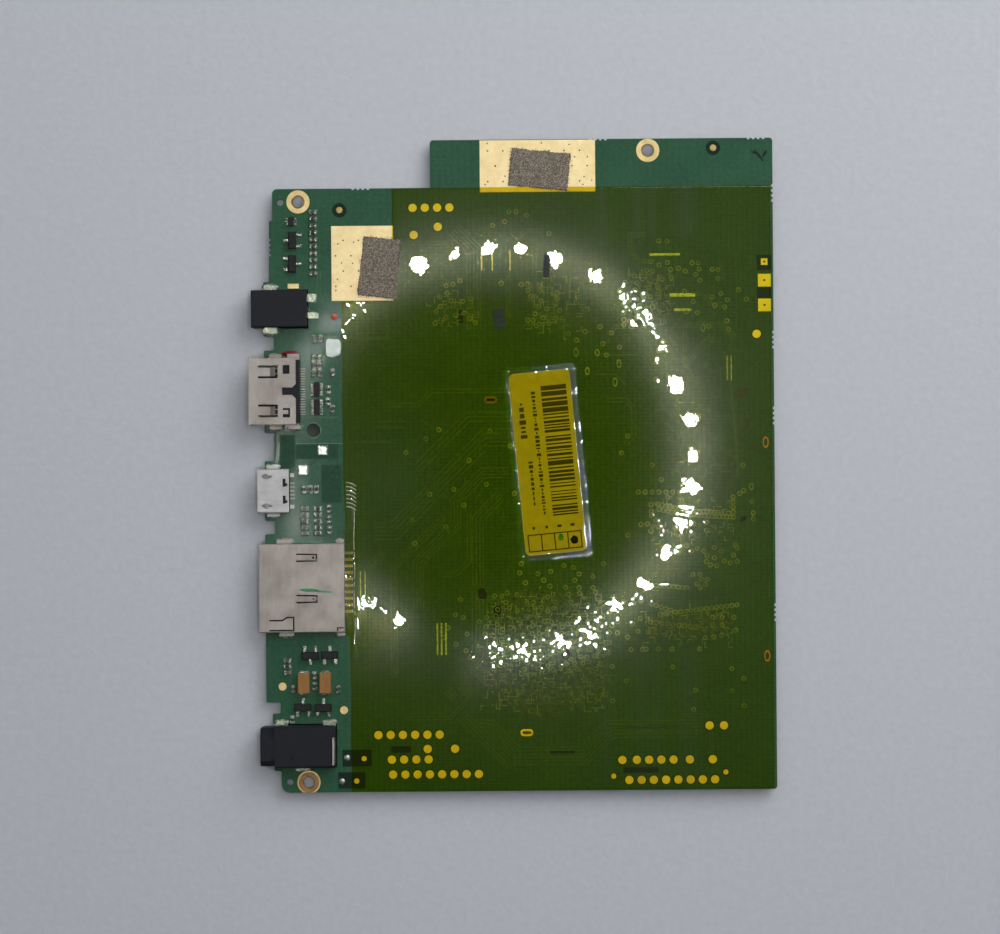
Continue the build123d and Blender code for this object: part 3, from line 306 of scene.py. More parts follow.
def mottled(name, dark, light, size, rough=0.5, metallic=0.0, shine=0.5, stops=(0.3, 0.7), detail=3.0,
            polish=None, bumps=None):
    """A finish that goes from dark to light in clumps of about size millimetres.

    Polish is the size of shinier patches and their two roughnesses; bumps are a size and a depth.
    """
    made, tree, shader = new_finish(name, rough, metallic)
    tone = two_tone(tree, size, dark, light, *stops, detail)
    feed(tree, shader, Base_Color=tone, Specular_IOR_Level=shine)
    if polish:
        feed(tree, shader, Roughness=span(tree, grain(tree, polish[0]), *polish[1:]))
    if bumps:
        relief(tree, shader, grain(tree, bumps[0]), bumps[1])
    return made


finishes = {}
print("ready: blend, relief, mottled")

# %% [markdown]
# ## Green lacquer over copper and glass
#
# The board is green because clear green lacquer covers it. Where copper lies under the lacquer it
# looks lighter, where there is bare glass cloth it looks darker, so a real board is never one green.
# Long faint streaks in both directions stand for the inner layers, and the cut edges show the pale
# resin. The cut edge is picked by the face's own direction, which holds from every side.

# %% Streaks, cut edges, and where the film lies
def streaks(tree, pitch, axis):
    """Faint parallel lines, as tracks in the layers below show through."""
    place = add_node(tree, "TexCoord").outputs["Object"]
    wave = add_node(tree, "TexWave", Vector=place, Scale=1 / (pitch * MM) / 3.2, Distortion=1.4, Detail=2.0,
                    Detail_Scale=0.4)
    wave.bands_direction = axis
    return wave.outputs["Fac"]


def upright(tree):
    """One on faces that look up or down, and zero on the cut edges."""
    facing = add_node(tree, "NewGeometry").outputs["Normal"]
    parts = add_node(tree, "SeparateXYZ", Vector=facing)
    size = add_node(tree, "Math", Value=parts.outputs["Z"])
    size.operation = "ABSOLUTE"
    return size.outputs[0]


def beyond(tree, axis, edge):
    """One beyond a line across the board, and zero before it; the edge is in metres from the middle."""
    place = add_node(tree, "TexCoord").outputs["Object"]
    parts = add_node(tree, "SeparateXYZ", Vector=place)
    return span(tree, parts.outputs[axis], 0.0, 1.0, edge - 0.05 * MM, edge + 0.05 * MM)


def joined(tree, first, second, rule="MULTIPLY"):
    """Two shares brought together by a rule."""
    node = add_node(tree, "Math")
    node.operation = rule
    tree.links.new(first, node.inputs[0])
    tree.links.new(second, node.inputs[1])
    return node.outputs[0]


def under_film(tree):
    """One where the film covers the board, and zero outside it."""
    left, notch = film_low.x + 0.6 * MM, spot(NOTCH_X, NOTCH_Y)
    lower = joined(tree, beyond(tree, "X", left), beyond(tree, "Y", notch[1]), "SUBTRACT")
    upper = joined(tree, beyond(tree, "X", notch[0]), beyond(tree, "Y", film_high.y), "SUBTRACT")
    return joined(tree, lower, upper, "MAXIMUM")


print("the film's outline turns", NOTCH_X, "mm from the left and", NOTCH_Y, "mm from the foot")

# %% The board's lacquer
lacquer, tree, shader = new_finish("green_lacquer", 0.36)
broad = two_tone(tree, 9.0, (30, 73, 48), (42, 85, 60), detail=4)
fine = two_tone(tree, 0.5, (26, 68, 45), (44, 89, 62), 0.35, 0.65)
face = blend(tree, 0.4, broad, fine)
along = span(tree, streaks(tree, 1.1, "X"), 0.0, 0.08, 0.55, 0.95)
across = span(tree, streaks(tree, 0.8, "Y"), 0.0, 0.06, 0.55, 0.95)
face = blend(tree, along, face, screen(54, 104, 74))
face = blend(tree, across, face, screen(26, 66, 46))
wetted = two_tone(tree, 7.0, (33, 72, 40), (44, 85, 50), detail=4)
wetted = blend(tree, 0.35, wetted, two_tone(tree, 0.6, (26, 65, 36), (50, 92, 54), 0.35, 0.65))
ribs = span(tree, streaks(tree, 0.6, "Y"), 0.0, 0.3, 0.5, 0.95)
wetted = blend(tree, ribs, wetted, screen(50, 96, 64))
ribs = span(tree, streaks(tree, 0.9, "X"), 0.0, 0.24, 0.5, 0.95)
wetted = blend(tree, ribs, wetted, screen(20, 58, 34))
face = blend(tree, under_film(tree), face, wetted)
edge = ramp(tree, grain(tree, 0.18, (1, 1, 5)), (0.35, screen(58, 74, 48)), (0.65, screen(112, 118, 84)))
flat = span(tree, upright(tree), 0.0, 1.0, 0.4, 0.6)
feed(tree, shader, Base_Color=blend(tree, flat, edge, face), Specular_IOR_Level=0.12)
feed(tree, shader, Roughness=span(tree, grain(tree, 1.4), 0.38, 0.52))
feed(tree, shader, Coat_Weight=0.07, Coat_Roughness=0.08)
relief(tree, shader, grain(tree, 0.35), 0.004)
finishes["board_mask"] = lacquer
print("lacquer done")

# %% [markdown]
# ## Metals
#
# Bare copper would go brown in weeks, so makers dip it in gold or tin. Gold pads are satin and a
# little stained, steel sheet keeps the fine lines of its rolling, and solder is bright but lumpy.
# Each metal differs only in its two colours, the direction of its lines and how rough it is, so one
# recipe with those as its words makes them all.

# %% One recipe for every metal
def metal(name, dark, light, rough, stretch=(1, 1, 1), size=0.5, deep=0.003, edge=0.04, metallic=0.85):
    """A metal between two colours; lines of a stated size run where stretch is small."""
    made, tree, shader = new_finish(name, metallic=metallic)
    dark, light = screen(*dark), screen(*light)
    clouds = grain(tree, size * 5, detail=4)
    lines = grain(tree, size, stretch)
    colour = blend(tree, 0.45, ramp(tree, clouds, (0.32, dark), (0.62, light)),
                   ramp(tree, lines, (0.3, dark), (0.7, light)))
    feed(tree, shader, Base_Color=colour, Roughness=span(tree, lines, *rough))
    relief(tree, shader, lines, deep, edge)
    return made


finishes["gold_plating"] = metal("gold_plate", (224, 198, 140), (242, 222, 168), (0.42, 0.56), metallic=0.3)
finishes["copper_pads"] = metal("dull_gold", (196, 168, 104), (232, 210, 146), (0.4, 0.56), metallic=0.3)
finishes["solder"] = metal("solder", (118, 124, 112), (196, 204, 194), (0.22, 0.36), size=0.8, deep=0.03,
                           metallic=0.7)
finishes["socket_steel"] = metal("rolled_steel", (116, 108, 100), (160, 154, 147), (0.4, 0.58),
                                 (1, 0.12, 1), size=0.7, deep=0.002, edge=0.12, metallic=0.6)
finishes["bright_steel"] = metal("bright_steel", (150, 151, 150), (180, 180, 178), (0.44, 0.56),
                                 (0.15, 1, 1), deep=0.002, metallic=0.5)
finishes["contact_metal"] = metal("plated_spring", (86, 89, 78), (142, 147, 134), (0.35, 0.5), metallic=0.4)
finishes["tinned_leads"] = metal("tin", (78, 84, 70), (140, 146, 128), (0.22, 0.36), size=0.8, deep=0.01,
                                 metallic=0.7)
print("metals:", sorted(n for n in finishes if n != "board_mask"))

# %% [markdown]
# ## Moulded and fired parts
#
# Chip bodies, jacks and sockets are moulded resin with a fine sparked grain; the tiny capacitors are
# fired ceramic and the resistors have a black glaze. Grain size and gloss set them apart, so again
# one recipe serves, with edges eased a little because no mould gives a knife edge.

# %% One recipe for moulded and fired parts
RESIN_SHINE = 0.2


def moulded(name, dark, light, rough, size=0.12, deep=0.006, edge=0.05):
    """Resin, ceramic or paper between two colours, with flecks of a stated size."""
    made, tree, shader = new_finish(name)
    dark, light = screen(*dark), screen(*light)
    fleck, cloud = grain(tree, size, detail=5), grain(tree, size * 14)
    colour = blend(tree, 0.5, ramp(tree, fleck, (0.35, dark), (0.68, light)),
                   ramp(tree, cloud, (0.3, dark), (0.7, light)))
    feed(tree, shader, Base_Color=colour, Roughness=span(tree, cloud, *rough))
    feed(tree, shader, Specular_IOR_Level=RESIN_SHINE)
    relief(tree, shader, fleck, deep, edge)
    return made


finishes["jack_plastic"] = moulded("jack_plastic", (11, 13, 18), (28, 31, 38), (0.5, 0.62))
finishes["chip_resin"] = moulded("chip_resin", (16, 17, 18), (36, 38, 38), (0.5, 0.66), size=0.08)
finishes["tantalum_resin"] = moulded("orange_resin", (128, 88, 44), (152, 112, 62), (0.45, 0.6))
finishes["ceramic_brown"] = moulded("fired_ceramic", (50, 50, 44), (90, 84, 72), (0.4, 0.55))
finishes["resistor_glaze"] = moulded("black_glaze", (16, 17, 19), (38, 40, 42), (0.25, 0.4), deep=0.003)
finishes["socket_resin"] = moulded("cream_resin", (150, 144, 124), (196, 190, 168), (0.42, 0.6))
finishes["label_paper"] = moulded("label_paper", (170, 162, 120), (196, 186, 138), (0.6, 0.75), size=0.09,
                                  deep=0.004, edge=0)
print("moulded and fired:", len(finishes), "finishes so far")

# %% [markdown]
# ## Give each solid part its finish
# The record says which finish slot each group of parts belongs to. A CAD part keeps its shape and
# only changes what is in its material slots. The upper rims of the board's slots took flux and heat,
# so they get a second, stained metal, picked by where each face stands. The test pads and edge pads at
# the head of the board get a second, lighter gold: a painted highlight for the glare they catch. The test
# pads at the head of
# the board were never probed, so their gold is cleaner than that of the rows at its foot.

# %% Dress the CAD parts
WEARS = {
    "board_mask": ["circuit_board"],
    "gold_plating": ["ground_pads", "test_pads", "edge_pads", "alignment_marks", "slot_rims"],
    "copper_pads": ["round_copper_pads", "screw_hole_platings", "power_jack_solder_pad"],
    "solder": ["soldered_pads", "tinned_dots"],
    "label_paper": ["paper_label"],
    "jack_plastic": ["power_jack_housing", "headphone_jack_housing", "data_socket_insulator",
                     "card_socket_base", "video_socket_insulator"],
    "socket_steel": ["video_socket_shell", "card_socket_cover", "headphone_jack_back_plate"],
    "bright_steel": ["data_socket_shell", "wireless_module_can", "crystals"],
    "contact_metal": ["card_socket_contacts", "data_socket_contacts", "video_socket_contacts",
                      "power_jack_pin", "ribbon_socket_contacts", "battery_connector_pins"],
    "tinned_leads": ["transistor_leads", "protection_chip_leads", "power_jack_clips", "power_jack_contacts",
                     "headphone_jack_contacts", "ceramic_capacitor_ends", "resistor_ends",
                     "tantalum_capacitor_ends", "underside_capacitor_ends"],
    "chip_resin": ["processor", "memory_chips", "flash_chip", "power_management_chip", "power_inductors",
                   "microphone_capsule", "transistor_bodies", "protection_chip_bodies"],
    "tantalum_resin": ["tantalum_capacitor_bodies"],
    "ceramic_brown": ["ceramic_capacitor_bodies", "underside_capacitor_bodies"],
    "resistor_glaze": ["resistor_bodies"],
    "socket_resin": ["ribbon_socket_bodies", "battery_connector_body"],
}
for slot_name, nodes in WEARS.items():
    for node in nodes:
        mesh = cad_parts[node].data
        mesh.materials.clear()
        mesh.materials.append(finishes[slot_name])
        mesh.polygons.foreach_set("material_index", np.zeros(len(mesh.polygons), np.int32))
undressed = sorted(set(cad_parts) - {n for nodes in WEARS.values() for n in nodes})
print("left for pieces of their own:", undressed)

# %% A second finish for some parts
def second_finish(node, finish, start):
    """Give another finish to the faces that stand more than start millimetres up the board."""
    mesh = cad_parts[node].data
    mesh.materials.append(finish)
    for polygon in mesh.polygons:
        polygon.material_index = int(polygon.center.y > spot(0, start)[1])


stained_rim = metal("stained_rim", (84, 66, 34), (118, 98, 54), (0.4, 0.6), size=0.2, metallic=0.3)
# a lighter gold, painted as the glare on the pads at the head of the board
gold_with_painted_glare = metal("gold_with_painted_glare", (250, 234, 176), (255, 246, 200), (0.42, 0.56), metallic=0.1)
second_finish("slot_rims", stained_rim, 40.0)
second_finish("test_pads", gold_with_painted_glare, 77.0)
second_finish("edge_pads", gold_with_painted_glare, 77.0)
capsule_lid = moulded("capsule_lid", (44, 52, 46), (66, 72, 64), (0.5, 0.6))
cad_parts["microphone_capsule"].data.materials[0] = capsule_lid
print("second finishes:", stained_rim.name, gold_with_painted_glare.name, capsule_lid.name)

# %% [markdown]
# ## Tracks
#
# Tracks are copper lines under the lacquer, a hair proud of the board. They run in bundles of equal
# pitch and turn at 45 degrees, so one line, a count and a pitch describe a whole bundle. Drawing
# them into the colour would be quicker, but raised lines catch light along their edges as real ones do.

# %% The finish of lacquer over copper, and a painted highlight for some tracks
over_copper = mottled("lacquer_over_copper", (36, 78, 44), (56, 96, 56), 0.8, 0.3, shine=0.2,
                      polish=(0.3, 0.22, 0.4), bumps=(0.2, 0.003))
# pale tone painted as the lamps' glint along tracks under the film
track_highlight = mottled("track_painted_highlight", (124, 156, 92), (166, 194, 124), 0.6, 0.28, 0.3,
                        polish=(0.3, 0.2, 0.4))

TRACK_LOW, TRACK_HIGH = 0.0, 0.018
TRACK_SWELL = 1.35  # lacquer makes a track look wider than its copper


def bundle(line, count=1, pitch=0.5, wide=0.16):
    """Parallel tracks to the right of a first line."""
    lines = [shifted(line, -pitch * i) for i in range(count)]
    return [strip(moved, wide * TRACK_SWELL, TRACK_LOW, TRACK_HIGH) for moved in lines]


print("track height", TRACK_HIGH, "mm")

# %% Tracks at the upper part of the board
UPPER_RUNS = [  # corners of the first line; then how many tracks, their pitch and their width
    ([(33.2, 96.2), (36.9, 92.5), (36.9, 78.4)], 5, 0.58, 0.18),
    ([(47.6, 94.9), (44.7, 94.9), (41.8, 92.0), (41.8, 80.6)], 2, 0.5, 0.2),
    ([(46.3, 91.4), (46.3, 80.2), (44.6, 78.5)], 2, 0.55),
    ([(49.2, 92.0), (49.2, 81.0), (51.4, 78.8)], 3, 0.5),
    ([(24.5, 93.4), (31.5, 93.4)], 2, 0.5, 0.14),
    ([(64.9, 94.0), (62.6, 94.0), (62.6, 91.5), (64.0, 90.1), (66.4, 90.1)], 2, 0.5, 0.22),
    ([(69.5, 79.3), (78.0, 79.3), (80.2, 77.1)], 3, 0.42, 0.15),
    ([(63.9, 78.4), (59.8, 78.4), (58.6, 77.2), (58.6, 75.8)], 2, 0.5, 0.16),
    ([(80.3, 91.0), (80.3, 78.4)], 1, 0.5, 0.13),
    ([(79.0, 94.0), (79.0, 91.6)], 1, 0.5, 0.13),
    ([(76.6, 76.5), (71.6, 71.7)], 3, 0.55, 0.24),
    ([(71.3, 71.6), (71.3, 79.0), (70.3, 80.0)], 2, 0.45, 0.18),
    ([(72.8, 84.3), (74.6, 84.3), (76.2, 82.6), (78.0, 82.6)], 2, 0.45, 0.15),
    ([(77.6, 89.6), (78.2, 88.8), (78.2, 86.6)], 2, 0.35, 0.12),
    ([(13.9, 77.0), (20.9, 77.0), (20.9, 83.0)], 1, 0.4, 0.17),
]
tracks = [track for run in UPPER_RUNS for track in bundle(*run)]
for nest in range(3):
    left, right, low, high = 51.3 + nest * 0.45, 54.8 - nest * 0.45, 79.8 + nest * 0.45, 87.2 - nest * 0.5
    nest_line = [(left, high), (left, low), (right, low), (right, high), (left + 0.8, high)]
    tracks += bundle(nest_line, wide=0.14)
for rise in range(4):
    tracks += bundle([(46.6, 83.0 - rise * 0.9), (50.2, 83.0 - rise * 0.9)], wide=0.13)
print("upper tracks:", len(tracks))

# %% Tracks across the middle
MIDDLE_RUNS = [
    ([(45.0, 67.7), (28.6, 67.7), (26.3, 65.4), (21.0, 65.4)], 2, 0.6, 0.14),
    ([(24.0, 61.9), (18.8, 61.9)], 2, 1.0, 0.14),
    ([(21.4, 59.5), (13.9, 59.5)], 1, 0.5, 0.2),
    ([(41.6, 62.8), (34.8, 62.8), (30.8, 58.8), (26.4, 54.4)], 3, 0.75, 0.15),
    ([(43.4, 58.6), (38.2, 58.6), (33.6, 54.0), (30.4, 50.8), (25.4, 45.8), (22.4, 42.8),
      (18.6, 42.8)], 5, 0.72, 0.14),
    ([(41.0, 53.2), (37.4, 53.2), (33.2, 49.0), (33.2, 45.0), (26.8, 38.6), (26.8, 31.2)], 4, 0.55, 0.14),
    ([(30.8, 46.4), (22.3, 37.9), (22.3, 19.6)], 3, 0.5, 0.15),
    ([(20.6, 40.2), (17.4, 37.0), (17.4, 33.0)], 3, 0.55, 0.14),
    ([(34.9, 47.5), (34.9, 39.0), (32.4, 36.5), (29.8, 36.5)], 2, 0.6, 0.14),
    ([(40.6, 49.5), (37.0, 45.9), (37.0, 34.8)], 4, 0.6, 0.14),
    ([(58.0, 66.6), (61.4, 66.6), (63.0, 65.0), (63.0, 60.0), (61.6, 58.6)], 2, 0.6, 0.15),
    ([(56.8, 73.9), (63.5, 73.9)], 1, 0.5, 0.2),
    ([(56.2, 70.6), (59.6, 70.6), (61.4, 68.8)], 1, 0.5, 0.15),
    ([(66.2, 58.5), (66.2, 55.9)], 1, 0.5, 0.1),
]
middle = [track for run in MIDDLE_RUNS for track in bundle(*run)]
print("middle tracks:", len(middle))

# %% Tracks at the lower part of the board
LOWER_RUNS = [
    ([(37.5, 34.0), (37.5, 22.6), (35.2, 20.3)], 5, 0.62, 0.15),
    ([(36.0, 21.6), (38.4, 19.2), (41.6, 19.2), (44.6, 16.2)], 4, 0.6, 0.14),
    ([(31.0, 17.6), (32.4, 16.2)], 3, 0.55, 0.2),
    ([(33.6, 18.6), (35.4, 16.8)], 4, 0.5, 0.16),
    ([(36.2, 12.0), (38.4, 12.0), (43.0, 7.4), (53.2, 7.4), (57.6, 11.8), (74.0, 11.8)], 6, 0.58, 0.13),
    ([(33.6, 13.6), (39.4, 7.8), (42.0, 5.2)], 4, 0.6, 0.13),
    ([(57.9, 26.6), (57.9, 18.6), (54.0, 14.7), (46.4, 14.7)], 6, 0.6, 0.14),
    ([(60.4, 10.6), (71.4, 10.6)], 2, 0.85, 0.13),
    ([(70.1, 12.8), (74.2, 12.8)], 2, 0.5, 0.16),
    ([(75.3, 5.9), (75.3, 10.1)], 2, 0.5, 0.12),
    ([(18.2, 33.6), (18.2, 20.2)], 3, 0.6, 0.12),
    ([(15.4, 33.0), (15.4, 22.5)], 2, 0.5, 0.14),
    ([(23.5, 12.7), (31.0, 12.7), (34.0, 15.7)], 2, 0.5, 0.1),
    ([(9.7, 88.6), (9.7, 84.4), (10.5, 83.6)], 2, 0.55, 0.18),
    ([(9.2, 79.4), (9.2, 77.9), (13.0, 77.9)], 2, 0.5, 0.16),
    ([(5.4, 63.7), (12.6, 63.7)], 1, 0.5, 0.14),
]
lower = [track for run in LOWER_RUNS for track in bundle(*run)]
print("lower tracks:", len(lower))

# %% [markdown]
# Under the memory and the sockets a real board is stitched with hundreds of short tracks that no one
# would draw one by one. Short runs on a half-millimetre grid, each with one bend of 45 or 90 degrees,
# give the same look. The random generator has a fixed seed, so the board is the same at every run.

# %% Short stitched tracks
COMPASS = [(1, 0), (1, 1), (0, 1), (-1, 1), (-1, 0), (-1, -1), (0, -1), (1, -1)]


def field(count, x_low, y_low, x_high, y_high, apart, seed):
    """Points in a rectangle that keep a least distance."""
    luck = random.Random(seed)
    made = []
    for _ in range(count * 30):
        point = (luck.uniform(x_low, x_high), luck.uniform(y_low, y_high))
        if len(made) < count and all(math.dist(point, other) > apart for other in made):
            made.append(point)
    return made


def stitches(count, x_low, y_low, x_high, y_high, seed, wide=0.13, longest=2.4, bend=1):
    """Short bent tracks inside a rectangle of the board; a bend is one or two eighths of a turn."""
    luck = random.Random(seed)
    made = []
    for _ in range(count):
        x = round(luck.uniform(x_low, x_high) * 2) / 2
        y = round(luck.uniform(y_low, y_high) * 2) / 2
        way = luck.randrange(8 // bend) * bend
        line = [(x, y)]
        legs = ((0, luck.uniform(0.5, longest)), (luck.choice((-bend, bend)), luck.uniform(0.4, 1.2)))
        for turn, reach in legs:
            dx, dy = COMPASS[(way + turn) % 8]
            size = math.hypot(dx, dy)
            x, y = x + dx / size * reach, y + dy / size * reach
            line.append((x, y))
        made.append(strip(line, wide, TRACK_LOW, TRACK_HIGH))
    return made


THICKETS = [  # how many, the rectangle's corners, the seed; then width, longest leg and bend
    (260, 36.5, 17.5, 57.5, 34.0, 11, 0.16, 2.4, 2), (40, 61.0, 79.0, 70.0, 88.0, 12, 0.15, 1.6),
    (34, 65.0, 26.5, 80.0, 31.5, 13, 0.13, 1.2), (26, 45.5, 78.0, 55.0, 86.0, 14),
    (22, 28.5, 77.5, 36.0, 86.0, 15, 0.12, 1.4), (30, 64.5, 40.0, 79.0, 50.5, 16, 0.12, 1.2),
    (36, 26.0, 44.0, 41.0, 62.0, 17, 0.11, 3.2), (60, 68.0, 44.0, 80.5, 78.0, 18, 0.13, 2.6),
]
thicket = [stitch for area in THICKETS for stitch in stitches(*area)]
piece("lacquered_tracks", tracks + middle + lower + thicket, over_copper)

# %% [markdown]
# The densest places lie over wide copper areas, called pours. There the lacquer looks lighter and
# more amber, with a mottle of tiny pads and stitches. A low flat splash stands for each pour, and a
# second, finer stitching in an amber lacquer lies on it. One flat colour there would look painted.

# %% Copper pours and close stitching
amber = mottled("amber_lacquer", (62, 92, 36), (112, 138, 54), 0.7, 0.35, shine=0.1)
CLOSE_AREAS = [
    (300, 37.0, 14.0, 58.0, 33.5, 19, 0.15, 1.5, 2), (70, 62.0, 79.0, 69.0, 88.0, 20, 0.14, 1.0, 2),
    (60, 66.0, 42.0, 80.0, 49.0, 31, 0.13, 1.0, 2), (70, 64.5, 25.0, 79.0, 31.0, 32, 0.14, 1.0, 2),
    (60, 44.0, 78.0, 54.5, 87.5, 33, 0.14, 1.4, 2), (34, 28.5, 78.0, 36.0, 84.5, 34, 0.12, 1.1, 2),
]
close = [stitch for area in CLOSE_AREAS for stitch in stitches(*area)]
tiny_pads = field(150, 37.5, 14.5, 57.5, 33.0, 0.6, 134)
close += [oblong(x, y, 0.3, 0.3, 0, TRACK_HIGH + 0.002) for x, y in tiny_pads]
piece("close_stitching", close, amber)
pour = mottled("lacquer_over_pour", (34, 66, 32), (66, 90, 44), 0.5, 0.4, shine=0.1, stops=(0.32, 0.68),
               detail=5)
pours = [splash(47.3, 23.4, 21.5, 22.0, 0.0, 131, 0.006, sides=70, ragged=0.08),
         splash(65.2, 83.0, 8.0, 10.0, 0.0, 132, 0.006, sides=50, ragged=0.12),
         splash(72.4, 28.6, 15.0, 5.0, 0.0, 133, 0.006, sides=50, ragged=0.12)]
piece("copper_pours", pours, pour)

# %% Wide tracks near the surface, painted bright as the highlight they catch
BAR_HIGH = 0.02
BARS = [((65.6, 90.9), (70.8, 90.9), 0.42), ((69.0, 84.0), (73.3, 84.0), 0.6),
        ((69.7, 81.5), (72.7, 81.5), 0.45), ((78.65, 73.6), (78.65, 69.4), 0.16),
        ((79.35, 73.6), (79.35, 69.4), 0.16)]
BARS += [((x, 28.6), (x, 23.2), 0.26) for x in (29.1, 29.8, 30.55)]
BARS += [((x, 91.8), (x, 88.4), 0.2) for x in (37.1, 38.9, 41.9)]
BARS += [((x, 37.5), (x, 33.2), 0.16) for x in (16.1, 16.9)]
bars = [strip([start, end], wide, 0, BAR_HIGH) for start, end, wide in BARS]
piece("bright_tracks", bars, track_highlight)

# %% [markdown]
# ## Vias
#
# A via is a plated hole that takes a track to another layer. Under lacquer it shows as a small pale
# ring round a dark dimple. They stand in loose fields, thrown by the same darts as the stitching,
# and in rows, which a second function spaces evenly between two points.

# %% Places of the vias
def row(start, end, count):
    """Evenly spaced points from one place to another."""
    (x0, y0), (x1, y1) = start, end
    return [(x0 + (x1 - x0) * i / (count - 1), y0 + (y1 - y0) * i / (count - 1)) for i in range(count)]


vias = [(41.8, 98.4), (43.0, 98.35), (44.8, 97.7), (41.05, 96.7), (39.0, 96.05), (40.4, 86.2), (43.8, 86.0)]
vias += [(31.05, 85.9), (32.2, 86.1), (33.4, 86.7), (31.2, 84.6), (48.6, 94.6), (67.2, 93.2), (68.6, 93.1)]
vias += field(30, 61.0, 78.4, 67.2, 85.4, 0.8, 21) + field(17, 65.5, 86.3, 77.7, 89.7, 0.95, 22)
vias += field(8, 60.4, 84.4, 65.5, 88.4, 1.0, 23) + field(12, 28.6, 79.0, 36.0, 84.0, 1.1, 24)
vias += field(20, 44.6, 78.6, 50.6, 86.4, 0.85, 25) + field(9, 51.2, 72.6, 60.5, 79.0, 1.6, 26)
vias += field(12, 71.0, 78.0, 79.0, 86.0, 1.2, 27) + field(7, 66.0, 68.5, 70.5, 77.5, 1.1, 28)
vias += row((63.4, 50.6), (70.4, 50.5), 7) + row((66.7, 48.5), (72.5, 47.3), 9)
vias += row((66.9, 47.6), (72.0, 46.5), 8) + row((72.6, 47.3), (78.7, 46.9), 11)
vias += row((73.4, 46.6), (79.0, 46.2), 10) + row((79.5, 49.6), (79.5, 46.2), 5)
vias += [(80.6, 50.2), (81.3, 50.7), (82.7, 48.9), (82.9, 46.9), (82.9, 45.9)]
vias += field(7, 64.7, 43.4, 66.8, 47.4, 0.7, 29) + field(7, 69.5, 42.8, 75.0, 45.4, 0.9, 30)
vias += field(5, 70.2, 40.3, 73.5, 41.9, 0.8, 31) + field(13, 74.4, 38.0, 80.4, 41.4, 0.9, 32)
vias += row((66.3, 34.7), (71.5, 34.3), 8) + field(7, 72.4, 34.2, 75.2, 36.6, 0.75, 33)
vias += row((65.5, 31.6), (69.5, 30.2), 6) + row((67.0, 29.8), (80.0, 31.3), 16)
vias += row((65.3, 28.5), (73.0, 27.6), 9)
vias += field(9, 74.0, 25.5, 80.5, 29.6, 1.2, 34) + [(64.5, 23.9), (66.6, 23.9), (68.9, 23.9), (73.6, 23.9)]
vias += field(96, 37.0, 20.5, 56.8, 33.8, 0.95, 35) + field(22, 56.5, 23.0, 64.0, 33.0, 1.1, 36)
vias += field(16, 43.0, 34.0, 58.0, 38.6, 1.3, 37) + field(10, 30.0, 22.0, 36.5, 33.0, 1.3, 38)
vias += field(14, 24.0, 42.0, 43.0, 64.0, 2.6, 39) + field(10, 58.0, 12.5, 82.0, 22.0, 2.6, 40)
vias += field(9, 60.0, 40.0, 70.0, 62.0, 2.4, 41) + [(80.7, 84.8), (82.0, 83.2), (81.2, 55.0), (79.8, 41.6)]
print("vias:", len(vias))

# %% Rings and dimples
via_ring = mottled("lacquered_ring", (66, 104, 54), (104, 138, 74), 1.5, 0.26, 0.1, shine=0.3,
                   polish=(0.3, 0.2, 0.4))
dimple = mottled("dark_dimple", (20, 44, 28), (38, 70, 46), 0.2, 0.4)
luck = random.Random(51)
RING_HIGH = 0.03
rings = [ring(x, y, 0.27, luck.uniform(0.39, 0.44), 0, RING_HIGH, 14) for x, y in vias]
OVALS = [(53.0, 74.4, 1.9), (56.6, 74.3, 1.5), (54.9, 71.2, 1.6), (60.3, 72.4, 1.8), (59.6, 69.3, 1.9),
         (64.5, 84.0, 1.7), (66.9, 85.6, 1.7), (74.6, 78.4, 1.6), (82.6, 51.4, 1.5)]
rings += [ring(x, y, 0.26, 0.42, 0, RING_HIGH, 16, stretch) for x, y, stretch in OVALS]
piece("via_rings", rings, via_ring, smooth=False)
piece("via_dimples", [dot(x, y, 0.27, 0, 0.012, 10) for x, y in vias], dimple)

# %% [markdown]
# Where no track meets it, a via is only a dark pinhole in the lacquer or in a gold pad. The pads'
# clearance, where lacquer and copper both stop short of the gold, is made the same way: a dark line
# that is partly bare laminate and partly painted shade round the pads.

# %% Pinholes
PINHOLES = [(30.2, 106.8), (33.9, 107.2), (35.1, 104.9), (31.9, 104.1), (28.9, 109.5), (34.7, 109.5),
            (16.9, 98.7), (19.4, 100.4), (20.7, 97.7), (12.5, 101.5), (24.9, 96.9), (58.5, 104.6),
            (60.0, 108.9), (61.8, 105.2), (62.3, 103.4), (69.2, 108.9), (70.4, 105.7), (72.9, 103.9),
            (74.4, 109.6), (79.4, 104.8), (80.8, 109.8), (84.9, 103.8), (85.4, 109.9), (85.2, 98.6),
            (50.4, 98.6), (57.1, 98.9), (3.0, 92.0), (11.0, 95.6), (2.5, 97.4), (12.4, 73.1),
            (10.6, 61.0), (4.4, 61.9), (12.2, 53.6), (5.4, 45.3), (12.6, 43.6), (4.9, 25.6), (12.8, 24.8),
            (13.4, 20.2), (3.4, 13.0), (12.9, 10.2)]
GOLD_PINHOLES = [(12.7, 93.1), (15.4, 93.4), (13.3, 89.9), (15.2, 89.8), (12.6, 87.1), (12.3, 85.2),
                 (38.2, 110.0), (47.4, 110.0), (52.1, 109.7), (53.0, 107.6), (55.2, 107.6), (39.5, 106.2),
                 (41.2, 104.4), (54.6, 104.2), (37.8, 103.0), (55.9, 103.6), (54.4, 102.9)]
piece("lacquer_pinholes", [dot(x, y, 0.16, 0, 0.01, 10) for x, y in PINHOLES], dimple)
gold_hole = mottled("pinhole_in_gold", (40, 34, 18), (110, 88, 50), 0.1, 0.5, metallic=0.3)
pad_top = (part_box("ground_pads")[1].z - board_high.z) / MM
STAIN_HIGH = 0.008
gold_dots = [dot(x, y, 0.13, pad_top, pad_top + STAIN_HIGH, 10) for x, y in GOLD_PINHOLES]
piece("gold_pinholes", gold_dots, gold_hole)
print("gold stands", round(pad_top, 3), "mm above the lacquer")

